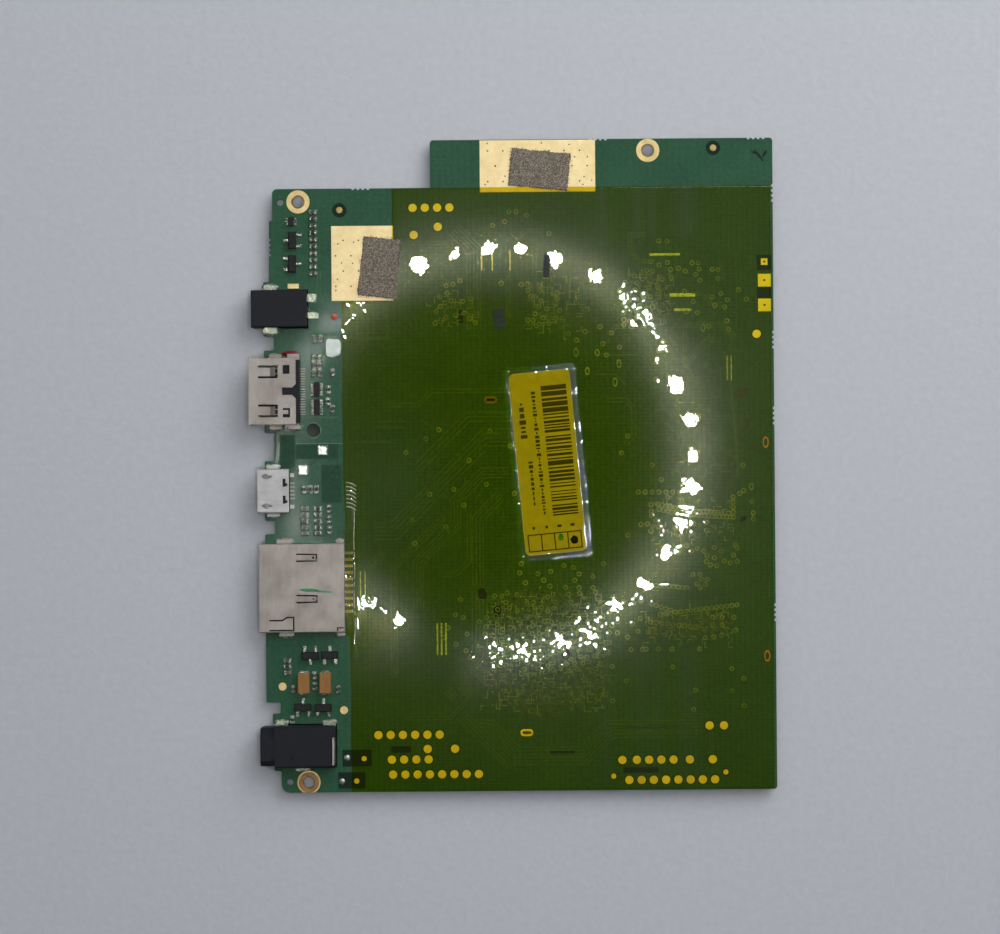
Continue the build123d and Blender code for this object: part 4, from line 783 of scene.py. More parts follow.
# %% Where the islands of a CAD part stand
def islands(node):
    """The box of each separate solid in a CAD node, as low and high corners in board millimetres."""
    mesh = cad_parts[node].data
    work = bmesh.new()
    work.from_mesh(mesh)
    bmesh.ops.remove_doubles(work, verts=work.verts, dist=1e-7)
    left, found = set(work.verts), []
    while left:
        start = left.pop()
        group, edge_of = [start], [start]
        while edge_of:
            for e in edge_of.pop().link_edges:
                for v in e.verts:
                    if v in left:
                        left.remove(v)
                        group.append(v)
                        edge_of.append(v)
        at = np.array([v.co for v in group])
        low, high = at.min(0), at.max(0)
        base = (board_low.x, board_low.y, board_high.z)
        found.append(tuple([(corner[i] - base[i]) / MM for i in range(3)] for corner in (low, high)))
    work.free()
    return sorted(found)


def middle_of(low, high):
    """The middle of a box, seen from above."""
    return (low[0] + high[0]) / 2, (low[1] + high[1]) / 2


pads = islands("test_pads")
print("test pads found:", len(pads), "first at", [round(v, 2) for v in pads[0][0]])

# %% Dark clearances round the gold: bare laminate and painted shade
# bare laminate, darkened further as painted shade round the raised gold
laminate_and_painted_shade = mottled("laminate_and_painted_shade", (10, 30, 22), (20, 46, 32), 0.25, 0.5, shine=0.1,
                        bumps=(0.15, 0.004))
GAP_HIGH = 0.012
clearances_and_shade, mark_faces = [], []
for low, high in pads:
    radius = (high[0] - low[0]) / 2
    clearances_and_shade.append(ring(*middle_of(low, high), radius + 0.01, radius + 0.17, 0, GAP_HIGH, 24))
for low, high in islands("alignment_marks"):
    middle = middle_of(low, high)
    clearances_and_shade.append(ring(*middle, 0.54, 1.22, 0, pad_top + 0.006, 32))
    mark_faces.append(dot(*middle, 0.52, pad_top, pad_top + 0.007, 24))
WIDE_GAPS = [(85.05, 89.4, 2.5, 2.6), (85.05, 84.25, 2.5, 2.0), (15.3, 5.8, 5.0, 2.9),
             (14.4, 2.0, 4.6, 2.8)]
SLIM_GAPS = [(63.5, 3.4, 6.0, 0.9), (50.2, 6.5, 4.2, 0.8), (22.8, 7.2, 3.4, 1.1),
             (33.5, 80.6, 0.8, 2.2)]
clearances_and_shade += [oblong(*place, 0, GAP_HIGH) for place in WIDE_GAPS]
clearances_and_shade += [oblong(*place, 0, 0.01) for place in SLIM_GAPS]
piece("dark_clearances", clearances_and_shade, laminate_and_painted_shade)
tarnished = metal("tarnished_gold", (150, 124, 62), (206, 182, 106), (0.4, 0.6), size=0.2, metallic=0.4)
piece("mark_faces", mark_faces, tarnished)

middles = [middle_of(low, high) for low, high in islands("edge_pads")]
stains = [dot(*middle, 0.2, pad_top, pad_top + STAIN_HIGH, 12) for middle in middles]
piece("edge_pad_middles", stains, gold_hole)

# %% [markdown]
# Where the inner layers hold no copper either, the lacquer lies over bare glass cloth and goes a
# shade darker. Designers clear such areas near antennas and sound holes. A plate of lacquer six
# thousandths of a millimetre high shows one. A thin printed line and ring mark the sound hole.

# %% Lacquer with no copper under it
glass_lacquer = mottled("lacquer_over_glass", (25, 60, 41), (31, 68, 47), 0.6, 0.45, shine=0.12,
                        bumps=(0.35, 0.004))
GLASSY = [(8.9, 57.9, 7.2, 2.5), (11.3, 52.4, 3.4, 6.4), (3.9, 57.9, 2.6, 5.6), (11.6, 34.0, 1.0, 5.0)]
glassy = [oblong(*place, 0, 0.006, ease=0.01) for place in GLASSY]
glassy.append(strip([(9.1, 59.0), (9.3, 57.9), (9.0, 56.8), (8.3, 56.0), (7.4, 55.6)], 0.2, 0, 0.012))
piece("lacquer_over_glass", glassy, glass_lacquer)
print_white = mottled("board_print", (54, 94, 74), (84, 120, 98), 0.3, 0.5)
arcs = [ring(8.3, 61.5, 1.2, 1.34, 0, 0.008, 40), strip([(5.4, 59.25), (13.2, 59.25)], 0.12, 0, 0.01)]
piece("board_print", arcs, print_white)

# %% [markdown]
# Flux left by hand soldering dries to a thin glossy skin over the lacquer. It sags to a very shallow
# dish, so it mirrors one lamp as a bright spot. A flat disc would mirror it too, but at half the size.

# %% A skin of dried flux
flux = mottled("dried_flux", (40, 84, 62), (56, 102, 78), 0.9, 0.4, bumps=(0.5, 0.005))
feed(flux.node_tree, flux.node_tree.nodes["Principled BSDF"], Coat_Weight=0.27, Coat_Roughness=0.085)
FLUX_AT, FLUX_HALF, FLUX_HIGH, FLUX_SIDES = (11.75, 75.5), (1.3, 1.5), 0.022, 36
FLUX_LEAN, FLUX_DISH = (0.0083, 0.0022), 0.0005  # how it leans, and how its rim rises


def flux_loop(share, base=None):
    """One loop of the skin, scaled by share; its height leans and rises a little towards the rim."""
    loop = []
    for step in range(FLUX_SIDES):
        turn = math.tau * step / FLUX_SIDES
        wobble = share * (1 + 0.05 * math.sin(3 * turn + 1) + 0.03 * math.sin(7 * turn))
        across, along = math.cos(turn), math.sin(turn)
        square = 1 / (across ** 4 + along ** 4) ** 0.25
        dx, dy = FLUX_HALF[0] * wobble * square * across, FLUX_HALF[1] * wobble * square * along
        high = FLUX_HIGH + FLUX_LEAN[0] * dx + FLUX_LEAN[1] * dy + FLUX_DISH * (dx * dx + dy * dy)
        loop.append(spot(FLUX_AT[0] + dx, FLUX_AT[1] + dy, high if base is None else base))
    return loop


skin = stack([flux_loop(1.04, 0.0)] + [flux_loop(share) for share in (1.0, 0.97, 0.75, 0.5, 0.25)])
piece("dried_flux", [skin], flux, smooth=True)

# %% [markdown]
# ## Solder
#
# A soldered lead or part end stands in a small bright fillet that wets the pad and climbs the metal.
# CAD left those out. Here the end of every small part is found again as an island of its mesh, and
# a low skirt is laid round its foot: wide at the board, narrow where it meets the metal.

# %% Solder skirts round every foot
def skirt(low, high, spread, climb, base=0.0, sign=1):
    """A fillet round a rectangular foot: wide and thin at the board, narrow at its top."""
    loops = []
    profile = ((spread, 0.0), (spread * 0.72, climb * 0.22), (spread * 0.34, climb * 0.55), (-0.02, climb))
    for out, up in profile:
        x0, x1, y0, y1 = low[0] - out, high[0] + out, low[1] - out, high[1] + out
        cut = max(min(out, (x1 - x0) / 4, (y1 - y0) / 4), 0.0) * 0.6 + 0.01
        corners = [(x0 + cut, y0), (x1 - cut, y0), (x1, y0 + cut), (x1, y1 - cut),
                   (x1 - cut, y1), (x0 + cut, y1), (x0, y1 - cut), (x0, y0 + cut)]
        loops.append([spot(x, y, base + sign * up) for x, y in corners])
    return stack(loops)


skirts = []
for node in ("ceramic_capacitor_ends", "resistor_ends", "tantalum_capacitor_ends"):
    skirts += [skirt(low, high, 0.17, 0.3) for low, high in islands(node)]
for node in ("transistor_leads", "protection_chip_leads"):
    for low, high in islands(node):
        skirts.append(skirt(low, (high[0], high[1], 0), 0.08, 0.1))
for low, high in islands("underside_capacitor_ends"):
    skirts.append(skirt(low, high, 0.15, 0.28, UNDERSIDE, -1))
piece("solder_fillets", skirts, finishes["solder"], smooth=True)

# %% Pads of solder at the sockets' feet
feet = [(1.8, 74.1, 2.6, 1.1), (1.9, 62.0, 2.6, 1.2), (5.0, 62.0, 2.6, 1.2), (1.4, 55.4, 2.7, 0.9),
        (1.4, 47.1, 2.8, 1.0), (3.3, 42.85, 3.1, 0.9), (12.7, 42.75, 1.6, 0.8), (3.6, 26.7, 3.0, 0.9),
        (12.6, 26.8, 1.7, 0.9), (1.15, 85.9, 2.9, 1.0), (1.15, 78.2, 2.9, 1.2), (10.7, 12.0, 2.6, 0.9),
        (2.6, 12.0, 2.6, 0.9), (6.1, 4.0, 2.6, 0.9), (8.1, 84.0, 1.6, 1.5), (8.4, 81.0, 1.9, 1.2)]
lumps = []
for index, (x, y, wide, long) in enumerate(feet):
    lumps.append(splash(x, y, wide, long, 0.0, 60 + index, thick=0.09, ragged=0.1, sides=26))
piece("socket_solder", lumps, finishes["solder"], smooth=True)

# %% [markdown]
# ## Plated hole walls
#
# A screw hole is plated right through. The wall is only hundredths of a millimetre thick, so it is a
# thin sleeve made here, just inside the CAD hole, with a darker worn ring where screw heads sat.

# %% Sleeves and worn rings
SCREW_HOLES = ((6.0, 100.3), (65.45, 108.6), (7.1, 1.75))
HOLE_SIDES, RING_FACE = 40, 0.05  # RING_FACE is the upper face of the plated ring
sleeves = [ring(x, y, 0.955, 0.985, UNDERSIDE - 0.03, 0.03, HOLE_SIDES) for x, y in SCREW_HOLES]
piece("hole_sleeves", sleeves, finishes["tinned_leads"], smooth=True)
wear_ring = mottled("worn_ring", (96, 78, 56), (150, 126, 92), 0.3, 0.4, 0.7, polish=(0.2, 0.25, 0.5))
worn = [ring(x, y, 1.005, 1.14, RING_FACE, RING_FACE + 0.012, HOLE_SIDES) for x, y in SCREW_HOLES]
piece("worn_hole_rings", worn, wear_ring)
tarnish = metal("tarnished_ring", (104, 66, 30), (164, 124, 72), (0.4, 0.6), size=0.25, metallic=0.4)
tarnished_ring = ring(*SCREW_HOLES[-1], 1.0, 1.73, RING_FACE, RING_FACE + 0.014, HOLE_SIDES)
piece("tarnished_screw_ring", [tarnished_ring], tarnish)

# %% [markdown]
# ## The yellow film
#
# The film is thin polyester with a weak glue. It lies flat on bare lacquer, bridges every edge it
# meets, and ripples a little everywhere, which is what breaks the studio lamps into dozens of glints.
# A plane with bump shading would glint too, but its edge would look dead straight from the side. So
# the sheet is a real fine mesh, and its height is a sum: long slow waves, a dimple at each via, a
# tent round the label, a ridge over the card socket's tails, and a few blisters of trapped air.

# %% Measures of the film
STEP, FILM_THICK = 0.3, 0.07
LEFT_LOW, LEFT_HIGH, CARD_EDGE = 14.35, 13.3, 13.58
FILM_RIGHT, FILM_FOOT, FILM_HEAD = 86.2, 0.15, 102.5
LABEL_AT, LABEL_TURN, LABEL_HALF = (48.05, 55.75), 5.2, (5.2, 15.5)
RING_MIDDLE, RING_REACH = (38.1, 57.2), 34.6


def smooth_step(value):
    """Zero up to 0, one from 1 on, with a soft start and end between."""
    value = np.clip(value, 0, 1)
    return value * value * (3 - 2 * value)


def label_gap(x, y):
    """Distance outside the label's edge, in millimetres; zero on the label."""
    u, v = turned(0, 0, x - LABEL_AT[0], y - LABEL_AT[1], -LABEL_TURN)
    return np.hypot(np.maximum(np.abs(u) - LABEL_HALF[0], 0), np.maximum(np.abs(v) - LABEL_HALF[1], 0))


def ring_share(x, y):
    """Zero under the camera, and one along the circle where the ring of lamps glints."""
    return np.hypot(x - RING_MIDDLE[0], y - RING_MIDDLE[1]) / RING_REACH


print("film from", (LEFT_HIGH, FILM_FOOT), "to", (FILM_RIGHT, FILM_HEAD))

# %% Waves, humps and the long crease
def waves(x, y, length, height, count, seed):
    """Slow waves of about one length, in many directions."""
    luck = random.Random(seed)
    total = np.zeros_like(x)
    for _ in range(count):
        way, phase, stretch = luck.uniform(0, math.pi), luck.uniform(0, 6.28), luck.uniform(0.75, 1.3)
        total += np.sin((x * math.cos(way) + y * math.sin(way)) * 2 * math.pi / (length * stretch) + phase)
    return total * height / math.sqrt(count)


def bumps(x, y, places, radius, height):
    """A small hump at each place."""
    total = np.zeros_like(x)
    for px, py in places:
        near = (np.abs(x - px) < radius * 3) & (np.abs(y - py) < radius * 3)
        total[near] += height * np.exp(-((x[near] - px) ** 2 + (y[near] - py) ** 2) / radius ** 2)
    return total


def crease_x(y):
    """Where the long crease runs; it sways a little."""
    return 15.1 + 0.08 * np.sin(y * 0.7)


print("beside the card socket the long crease is at", round(float(crease_x(35.0)), 2), "mm")

# %% The film's height
LABEL_TENT = (label_high.z - board_high.z) / MM + 0.035
FILM_REST, FILM_LEAST, TAILS_RISE = 0.085, 0.06, 0.22
EYE_DISTANCE = 450.0
TILTS = [  # a place where the film leans, how far the lean reaches, and how far that moves a glint
    (20.0, 31.0, 11.0, 2.6, 1.4), (15.3, 80.4, 3.4, -0.7, -1.6), (53.5, 40.6, 0.7, -6.3, 10.1),
    (54.4, 41.4, 0.6, -10.5, 5.8), (53.5, 59.8, 0.7, -18.8, -3.4),
]
blisters = field(34, 24.0, 18.0, 76.0, 98.0, 3.5, 71)
dust = field(26, 13.8, 57.0, 17.6, 83.0, 0.8, 75) + field(10, 16.0, 30.0, 24.0, 40.0, 1.2, 76)


def film_rise(x, y):
    """The film's height over the lacquer, in millimetres."""
    rise = FILM_REST + waves(x, y, 24, 0.008, 5, 72) + waves(x, y, 11, 0.0018, 6, 73)
    rise += waves(x, y, 4.2, 0.0005, 8, 74)
    for places, radius, height in ((vias, 0.42, 0.006), (blisters, 1.1, 0.003), (dust, 0.36, 0.006)):
        rise += bumps(x, y, places, radius, height)
    rise = np.maximum(rise, FILM_LEAST)
    # a tent round the label, slacker at its right side
    loose = 0.75 + 0.45 * smooth_step((x - LABEL_AT[0] + 3) / 6)
    loose += 0.09 * np.sin(y * 1.7) + 0.07 * np.sin(x * 2.3 + y)
    tent = LABEL_TENT * (1 - smooth_step(label_gap(x, y) / loose))
    rise = np.maximum(rise, tent + 0.02)
    # up onto the card socket's tails, and the long crease beside them
    beside_tails = smooth_step((y - 26.6) / 1.2) * smooth_step((45.5 - y) / 1.5)
    rise += beside_tails * TAILS_RISE * smooth_step((15.1 - x) / 0.7)
    ridge = smooth_step((y - 23.0) / 1.0) * smooth_step((53.5 - y) / 2.0)
    rise += ridge * (0.013 + 0.004 * np.sin(y * 2.1)) * np.exp(-((x - crease_x(y)) / 0.26) ** 2)
    # small leans, each of which moves the glint that stands there
    for px, py, radius, across, along in TILTS:
        window = np.exp(-((x - px) ** 2 + (y - py) ** 2) / radius ** 2)
        rise += ((x - px) * across + (y - py) * along) / EYE_DISTANCE * window
    return rise


print("film height at the label", round(LABEL_TENT, 3), "mm")

# %% The film's mesh
def left_edge(y):
    """The film's left edge leans a little, as it was laid by hand."""
    tails = smooth_step((y - 26.2) / 0.8) * smooth_step((46.0 - y) / 0.8)
    plain = LEFT_LOW + (LEFT_HIGH - LEFT_LOW) * smooth_step((y - 20) / 40) + 0.06 * np.sin(y * 0.45)
    return plain + (CARD_EDGE - plain) * tails


low_rows = np.linspace(FILM_FOOT, NOTCH_Y, round((NOTCH_Y - FILM_FOOT) / STEP) + 1)
high_rows = np.linspace(NOTCH_Y, FILM_HEAD, round((FILM_HEAD - NOTCH_Y) / STEP) + 1)[1:]
side_count = 44
wide_columns = np.linspace(NOTCH_X, FILM_RIGHT, round((FILM_RIGHT - NOTCH_X) / STEP) + 1)
xs, ys, faces, rows_of_points = [], [], [], []
for y in np.concatenate([low_rows, high_rows]):
    columns = wide_columns
    if y <= NOTCH_Y + 1e-6:
        start = left_edge(y)
        side_columns = start + (NOTCH_X - start) * (np.arange(side_count) / side_count) ** 1.5
        columns = np.concatenate([side_columns, wide_columns])
    first = len(xs)
    xs.extend(columns)
    ys.extend([y] * len(columns))
    rows_of_points.append(list(range(first, first + len(columns))))
for lower_row, upper_row in zip(rows_of_points, rows_of_points[1:]):
    shared = lower_row[-len(upper_row):]
    for i in range(len(upper_row) - 1):
        faces.append((shared[i], shared[i + 1], upper_row[i + 1], upper_row[i]))
at_x, at_y = np.array(xs), np.array(ys)
heights = film_rise(at_x, at_y)
print("film:", len(xs), "points,", len(faces), "faces, highest", round(float(heights.max()), 3), "mm")

# %% The film's cut edge
notch_row = rows_of_points[len(low_rows) - 1]
edge_loop = rows_of_points[0] + [r[-1] for r in rows_of_points[1:]] + rows_of_points[-1][-2::-1]
edge_loop += [r[0] for r in reversed(rows_of_points[len(low_rows):-1])] + notch_row[side_count::-1]
edge_loop += [r[0] for r in reversed(rows_of_points[1:len(low_rows) - 1])]
points = [spot(x, y, up) for x, y, up in zip(xs, ys, heights)]
start = len(points)
points += [spot(xs[i], ys[i], max(heights[i] - FILM_THICK, 0.01)) for i in edge_loop]
for i in range(len(edge_loop)):
    j = (i + 1) % len(edge_loop)
    faces.append((edge_loop[j], edge_loop[i], start + i, start + j))
print("edge of the film:", len(edge_loop), "points")

# %% [markdown]
# Seen from above, film adds three things to what lies under it. It tints, so white turns yellow and
# blue is lost. It scatters a little, most where it has come loose, as round the label. And it mirrors
# the lamps sharply, with a soft glow round each. The looseness differs from place to place, so it is
# worked out at every point of the mesh. A painted glow is added to it along the circle where the ring
# of lamps glints, and the shader reads both as an attribute named haze_and_glow.

# %% Where the film looks hazy, and its painted glow along the ring of glints
HATCH = ((57.6, 0.7), (63.6, 1.0), (66.2, 0.8), (71.8, 2.0))  # middles and widths of loose columns
EDGE_HAZE = 0.5


def haze_and_glow_at(x, y):
    """How hazy the film looks: below zero where it clings, above zero where it is loose, and raised by a
    painted glow along the ring of glints.
    """
    gap = label_gap(x, y)
    beside, below = x - LABEL_AT[0] + 4, (y - LABEL_AT[1]) / 4
    side = 0.3 + 0.7 * smooth_step(beside / 6) * smooth_step((beside + below) / 4)
    # loose round the label, in one wide patch and in a few columns, and a painted glow under the ring of
    # glints
    halo = np.where(gap > 0.02, 1 - smooth_step((gap - 0.6) / 0.9), 0.0) * side
    loose = 0.28 * np.exp(-((x - 21) / 9) ** 2 - ((y - 52) / 12) ** 2)
    # painted glow: the film is paler and cloudier along the circle where the ring of lamps glints
    painted_ring_glow = 0.16 * np.exp(-((ring_share(x, y) - 1.0) / 0.16) ** 2) * smooth_step((x - 16) / 6)
    columns = sum(np.exp(-((x - middle) / wide) ** 2) for middle, wide in HATCH)
    hatch = 0.16 * columns * (smooth_step((y - 92) / 3) + 0.7 * smooth_step((27 - y) / 5))
    # pressed down just outside the label's left edge
    left_side = np.where((gap > 0) & (gap < 1.1) & (x < LABEL_AT[0] - 3), 0.42, 0.0)
    return np.clip(0.45 * halo + loose + painted_ring_glow + hatch - left_side, -0.46, 1)


haze_and_glow = np.concatenate([haze_and_glow_at(at_x, at_y), np.full(len(edge_loop), EDGE_HAZE)])
print("haze from", round(float(haze_and_glow.min()), 2), "to", round(float(haze_and_glow.max()), 2))

# %% The film's finish
film_finish, tree, shader = new_finish("yellow_film", 0.1)
clear = add_node(tree, "BsdfTransparent", Color=(0.97, 0.90, 0.06, 1.0))
read = add_node(tree, "Attribute")
read.attribute_name = "haze_and_glow"
# the cloud and the pale end of the tone carry both real haze and the painted glow along the ring of glints
fog = span(tree, read.outputs["Fac"], 0.0, 0.7, -0.46, 1.0)
tone = ramp(tree, read.outputs["Fac"], (0.0, screen(28, 40, 8)), (0.25, screen(60, 78, 48)),
            (1.0, screen(122, 142, 108)))
feed(tree, shader, Base_Color=tone, Specular_IOR_Level=0.17)
feed(tree, shader, Coat_Weight=1.0, Coat_Roughness=0.006, Coat_IOR=2.2)
crinkle = add_node(tree, "Bump", Distance=0.0013 * MM)
feed(tree, crinkle, Height=grain(tree, 0.75, detail=1))
feed(tree, shader, Normal=crinkle.outputs["Normal"], Coat_Normal=crinkle.outputs["Normal"])
mixer = add_node(tree, "MixShader", Fac=fog)
tree.links.new(clear.outputs["BSDF"], mixer.inputs[1])
tree.links.new(shader.outputs["BSDF"], mixer.inputs[2])
feed(tree, tree.nodes["Material Output"], Surface=mixer.outputs["Shader"])

film = piece("yellow_film", [(points, faces)], film_finish, smooth=True, tidy=False)
marks = film.data.attributes.new("haze_and_glow", "FLOAT", "POINT")
marks.data.foreach_set("value", haze_and_glow.astype(np.float32))
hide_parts("protective_film")

# %% [markdown]
# The film was pulled tight at its left edge and smoothed by hand, so it kept a fan of small folds
# and one long crease. Cast in the film's own height they would need a far finer mesh, so each fold
# is a thin ridge of its own on top, painted in a pale tone that stands for the light the folds catch.

# %% Creases and fingers at the film's left edge
# a pale tone painted as the highlight along the folds and the long crease
crease = mottled("film_crease", (84, 100, 40), (138, 150, 80), 0.3, 0.2)
fans = []
for finger in range(7):
    y = 52.6 - finger * 0.68
    fold = [(13.8, y), (14.4, y - 0.06), (15.0, y - 0.3), (15.5, y - 0.66)]
    fans.append(strip(fold, 0.17, FILM_REST + 0.01, FILM_REST + 0.03))
CREASES = ((48.2, 41.2), (40.8, 39.6), (39.2, 36.2), (35.7, 34.9), (34.4, 31.4), (30.7, 30.1),
           (29.6, 26.0))
for start, end in CREASES:
    fold = [(crease_x(y), y) for y in np.linspace(start, end, 6)]
    fans.append(strip(fold, 0.15, FILM_REST + 0.01, FILM_REST + 0.05))
piece("film_creases", fans, crease, smooth=False)
slate = mottled("slate_smudge", (20, 32, 16), (36, 48, 28), 0.5, 0.4, shine=0.1)
smudges = [oblong(x, y, wide, long, FILM_REST + 0.02, FILM_REST + 0.045, turn)
           for x, y, wide, long, turn in ((40.0, 80.2, 1.9, 3.3, 3), (48.1, 89.1, 1.1, 3.8, -3))]
piece("slate_smudges", smudges, slate)

# %% [markdown]
# ## Conductive cloth
#
# Two pieces of metallised cloth ground the board to the case. They were cut with a knife, so their
# edges are a little ragged and loose threads stand out. Cloth this small is a fine grid whose border
# is pulled in and out, with a shallow weave pressed into its height.

# %% The cloth's finish
cloth, tree, shader = new_finish("metallised_cloth", 0.62, 0.25)
speck = ramp(tree, grain(tree, 0.16, detail=5), (0.36, screen(42, 37, 32)), (0.5, screen(102, 92, 80)),
             (0.66, screen(182, 170, 150)))
patchy = two_tone(tree, 0.6, (66, 57, 48), (126, 116, 102), 0.35, 0.65)
feed(tree, shader, Base_Color=blend(tree, 0.35, speck, patchy))
feed(tree, shader, Roughness=span(tree, grain(tree, 0.2), 0.45, 0.8))
relief(tree, shader, grain(tree, 0.14, detail=4), 0.03)


# %% The two pieces of cloth
def cloth_patch(x, y, long, wide, turn, seed, low=0.15, thick=0.16):
    """A closed, slightly wavy sheet with a ragged border."""
    luck = random.Random(seed)
    nu, nv = 84, 54
    ragged = {side: [luck.uniform(-1, 1) for _ in range(max(nu, nv) + 1)] for side in "lrbt"}
    points, faces = [], []
    for level in (0, 1):
        for j in range(nv + 1):
            for i in range(nu + 1):
                u, v = (i / nu - 0.5) * long, (j / nv - 0.5) * wide
                rim = 0.09
                u += rim * (ragged["l"][j] * (i == 0) + ragged["r"][j] * (i == nu))
                v += rim * (ragged["b"][i] * (j == 0) + ragged["t"][i] * (j == nv))
                v += 0.12 * math.sin(u * 1.5 + 1) * (v / wide)
                weave = 0.012 * math.sin(u * 2 * math.pi / 0.36) * math.sin(v * 2 * math.pi / 0.36)
                edge = min(i, nu - i, j, nv - j)
                up = low + level * (thick + weave + 0.012 * math.sin(u * 0.9) - (0.06 if edge == 0 else 0))
                points.append(spot(*turned(x, y, u, v, turn), up))
    layer = (nu + 1) * (nv + 1)
    for j in range(nv):
        for i in range(nu):
            a = j * (nu + 1) + i
            quad = (a, a + 1, a + nu + 2, a + nu + 1)
            faces.append(tuple(layer + q for q in quad))
            faces.append(quad[::-1])
    border = list(range(nu + 1)) + [j * (nu + 1) + nu for j in range(1, nv + 1)]
    border += [nv * (nu + 1) + i for i in range(nu - 1, -1, -1)]
    border += [j * (nu + 1) for j in range(nv - 1, 0, -1)]
    for i, a in enumerate(border):
        b = border[(i + 1) % len(border)]
        faces.append((a, b, layer + b, layer + a))
    return points, faces


def threads(x, y, long, wide, turn, seed, up=0.2, count=46):
    """Loose threads that stick out of the cut edges."""
    luck = random.Random(seed)
    made = []
    for _ in range(count):
        side = luck.randrange(4)
        t = luck.uniform(-0.5, 0.5)
        du, dv = ((0, 1), (0, -1), (1, 0), (-1, 0))[side]
        u, v = (t * long, dv * wide / 2) if dv else (du * long / 2, t * wide)
        reach, lean = luck.uniform(0.12, 0.42), luck.uniform(-0.35, 0.35)
        end_u, end_v = u + du * reach + lean * abs(dv) * reach, v + dv * reach + lean * abs(du) * reach
        u, v = u - du * 0.2, v - dv * 0.2
        line = [turned(x, y, u, v, turn), turned(x, y, end_u, end_v, turn)]
        made.append(strip(line, 0.06, up, up + 0.05))
    return made


cloths = [(19.7, 89.05, 10.05, 6.3, 83.0), (47.05, 105.5, 10.05, 6.3, -6.0)]
sheets = [cloth_patch(*place, 81 + i) for i, place in enumerate(cloths)]
patches = piece("conductive_cloth", sheets, cloth, smooth=True)
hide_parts("conductive_fabric_pads")
loose = [form for i, place in enumerate(cloths) for form in threads(*place, 91 + i)]
piece("cloth_threads", loose, cloth)

# %% [markdown]
# ## What is printed on the label
#
# The label carries a block of machine-readable bars, lines of small print and four tick boxes. The
# bars here have random widths and say nothing, and the small print is only rows of dashes, so the
# part stays generic. Everything is written in the label's own directions and then turned with it.

# %% Print on the label
LABEL_TOP = (label_high.z - board_high.z) / MM
PRINT_HIGH = 0.008
ink = mottled("printing_ink", (22, 20, 18), (50, 44, 37), 0.12, 0.55, stops=(0.3, 0.75))


def on_label(u, v):
    """A place on the label: across from its middle, and along it."""
    return turned(*LABEL_AT, u, v, LABEL_TURN)


def printed(u, v, across, along):
    """A flat printed mark."""
    return oblong(*on_label(u, v), across, along, LABEL_TOP, LABEL_TOP + PRINT_HIGH, LABEL_TURN, 0.0)


luck = random.Random(101)
marks = []
v = 13.0
while v > -9.0:
    thick = luck.choice((0.18, 0.26, 0.26, 0.46, 0.8))
    marks.append(printed(2.2, v - thick / 2, 4.35, thick))
    v -= thick + luck.choice((0.2, 0.2, 0.32, 0.32, 0.6))
SMALL_PRINT = ((-1.35, 12.2, -8.9, 0.72, 0.5), (-3.55, 10.4, 4.9, 1.15, 0.75), (-2.9, 0.4, -6.9, 0.75, 0.6))
for u, start, end, tall, long in SMALL_PRINT:
    v = start
    while v > end:
        dash = long * luck.choice((0.5, 0.8, 1.0))
        marks.append(printed(u, v - dash / 2, tall * luck.choice((0.35, 0.7, 1.0)), dash))
        v -= dash + long * 0.45
for u in (-3.45, -1.25, 0.95, 3.15):
    marks.append(printed(u, -10.9, 0.7 * luck.choice((0.6, 1.0)), 0.75 * luck.choice((0.6, 1.0))))
for u in (-4.55, -2.3, -0.05, 2.2, 4.45):
    marks.append(printed(u, -13.45, 0.2, 2.85))
for v in (-12.05, -14.85):
    marks.append(printed(-0.05, v, 9.1, 0.2))
piece("label_print", marks, ink)

# %% [markdown]
# ## Ink from the test bench
#
# People mark a board as it passes each test: a dot of red paint by a socket, a stroke of green marker
# on a cover, dots in the label's boxes. Each is a thin flat patch with an uneven edge. Marker ink is
# thin, so the film tints it as it tints everything else.

# %% Dots and strokes of ink
def paint(name, dark, light, rough=0.35, shine=0.3):
    """Dried ink or paint, a little uneven in colour and height."""
    return mottled(name, dark, light, 0.35, rough, shine=shine, bumps=(0.2, 0.004))


red = paint("red_paint", (96, 12, 24), (128, 28, 34))
orange = paint("orange_paint", (168, 78, 50), (196, 104, 72))
green = paint("green_marker", (10, 96, 50), (46, 150, 92))
violet = paint("violet_marker", (8, 3, 16), (18, 8, 28), 0.6, 0.05)
black = paint("black_marker", (18, 26, 24), (34, 46, 40), 0.5, 0.1)
teal = paint("teal_marker", (20, 70, 52), (34, 92, 62))
brown = paint("brown_stain", (46, 58, 32), (60, 74, 42), 0.4, 0.1)

piece("red_paint_stroke", [splash(4.45, 74.5, 3.0, 1.15, 0.01, 111, 0.1)], red, True)
piece("orange_paint_dot", [splash(12.0, 80.75, 1.05, 1.05, 0.01, 112, 0.05)], orange, True)
tick = splash(*on_label(1.0, -12.85), 0.95, 1.2, LABEL_TOP + PRINT_HIGH, 113, 0.006)
piece("green_label_dot", [tick], green)
tick = splash(*on_label(3.25, -13.5), 1.35, 1.4, LABEL_TOP + PRINT_HIGH, 114, 0.006)
piece("violet_label_dot", [tick], violet)
BLACK = [  # place, width, length, height, seed, thickness and turn
    (84.3, 107.6, 0.5, 2.3, 0.0, 115, 0.008, 38), (85.3, 107.9, 0.45, 1.5, 0.0, 116, 0.008, -30),
    (83.4, 108.1, 0.3, 1.0, 0.0, 117, 0.008, 60), (36.8, 33.5, 1.5, 2.0, 0.02, 118, 0.004, 10),
    (39.3, 30.5, 1.3, 2.2, 0.02, 119, 0.004, -15), (50.9, 23.1, 1.5, 1.7, 0.02, 120, 0.004),
    (81.2, 45.9, 0.8, 1.3, 0.0, 121, 0.006, -50),
]
piece("black_ink", [splash(*patch) for patch in BLACK], black)
line = [(78.6, 74.0), (79.3, 68.0), (79.9, 61.0), (80.35, 52.9)]
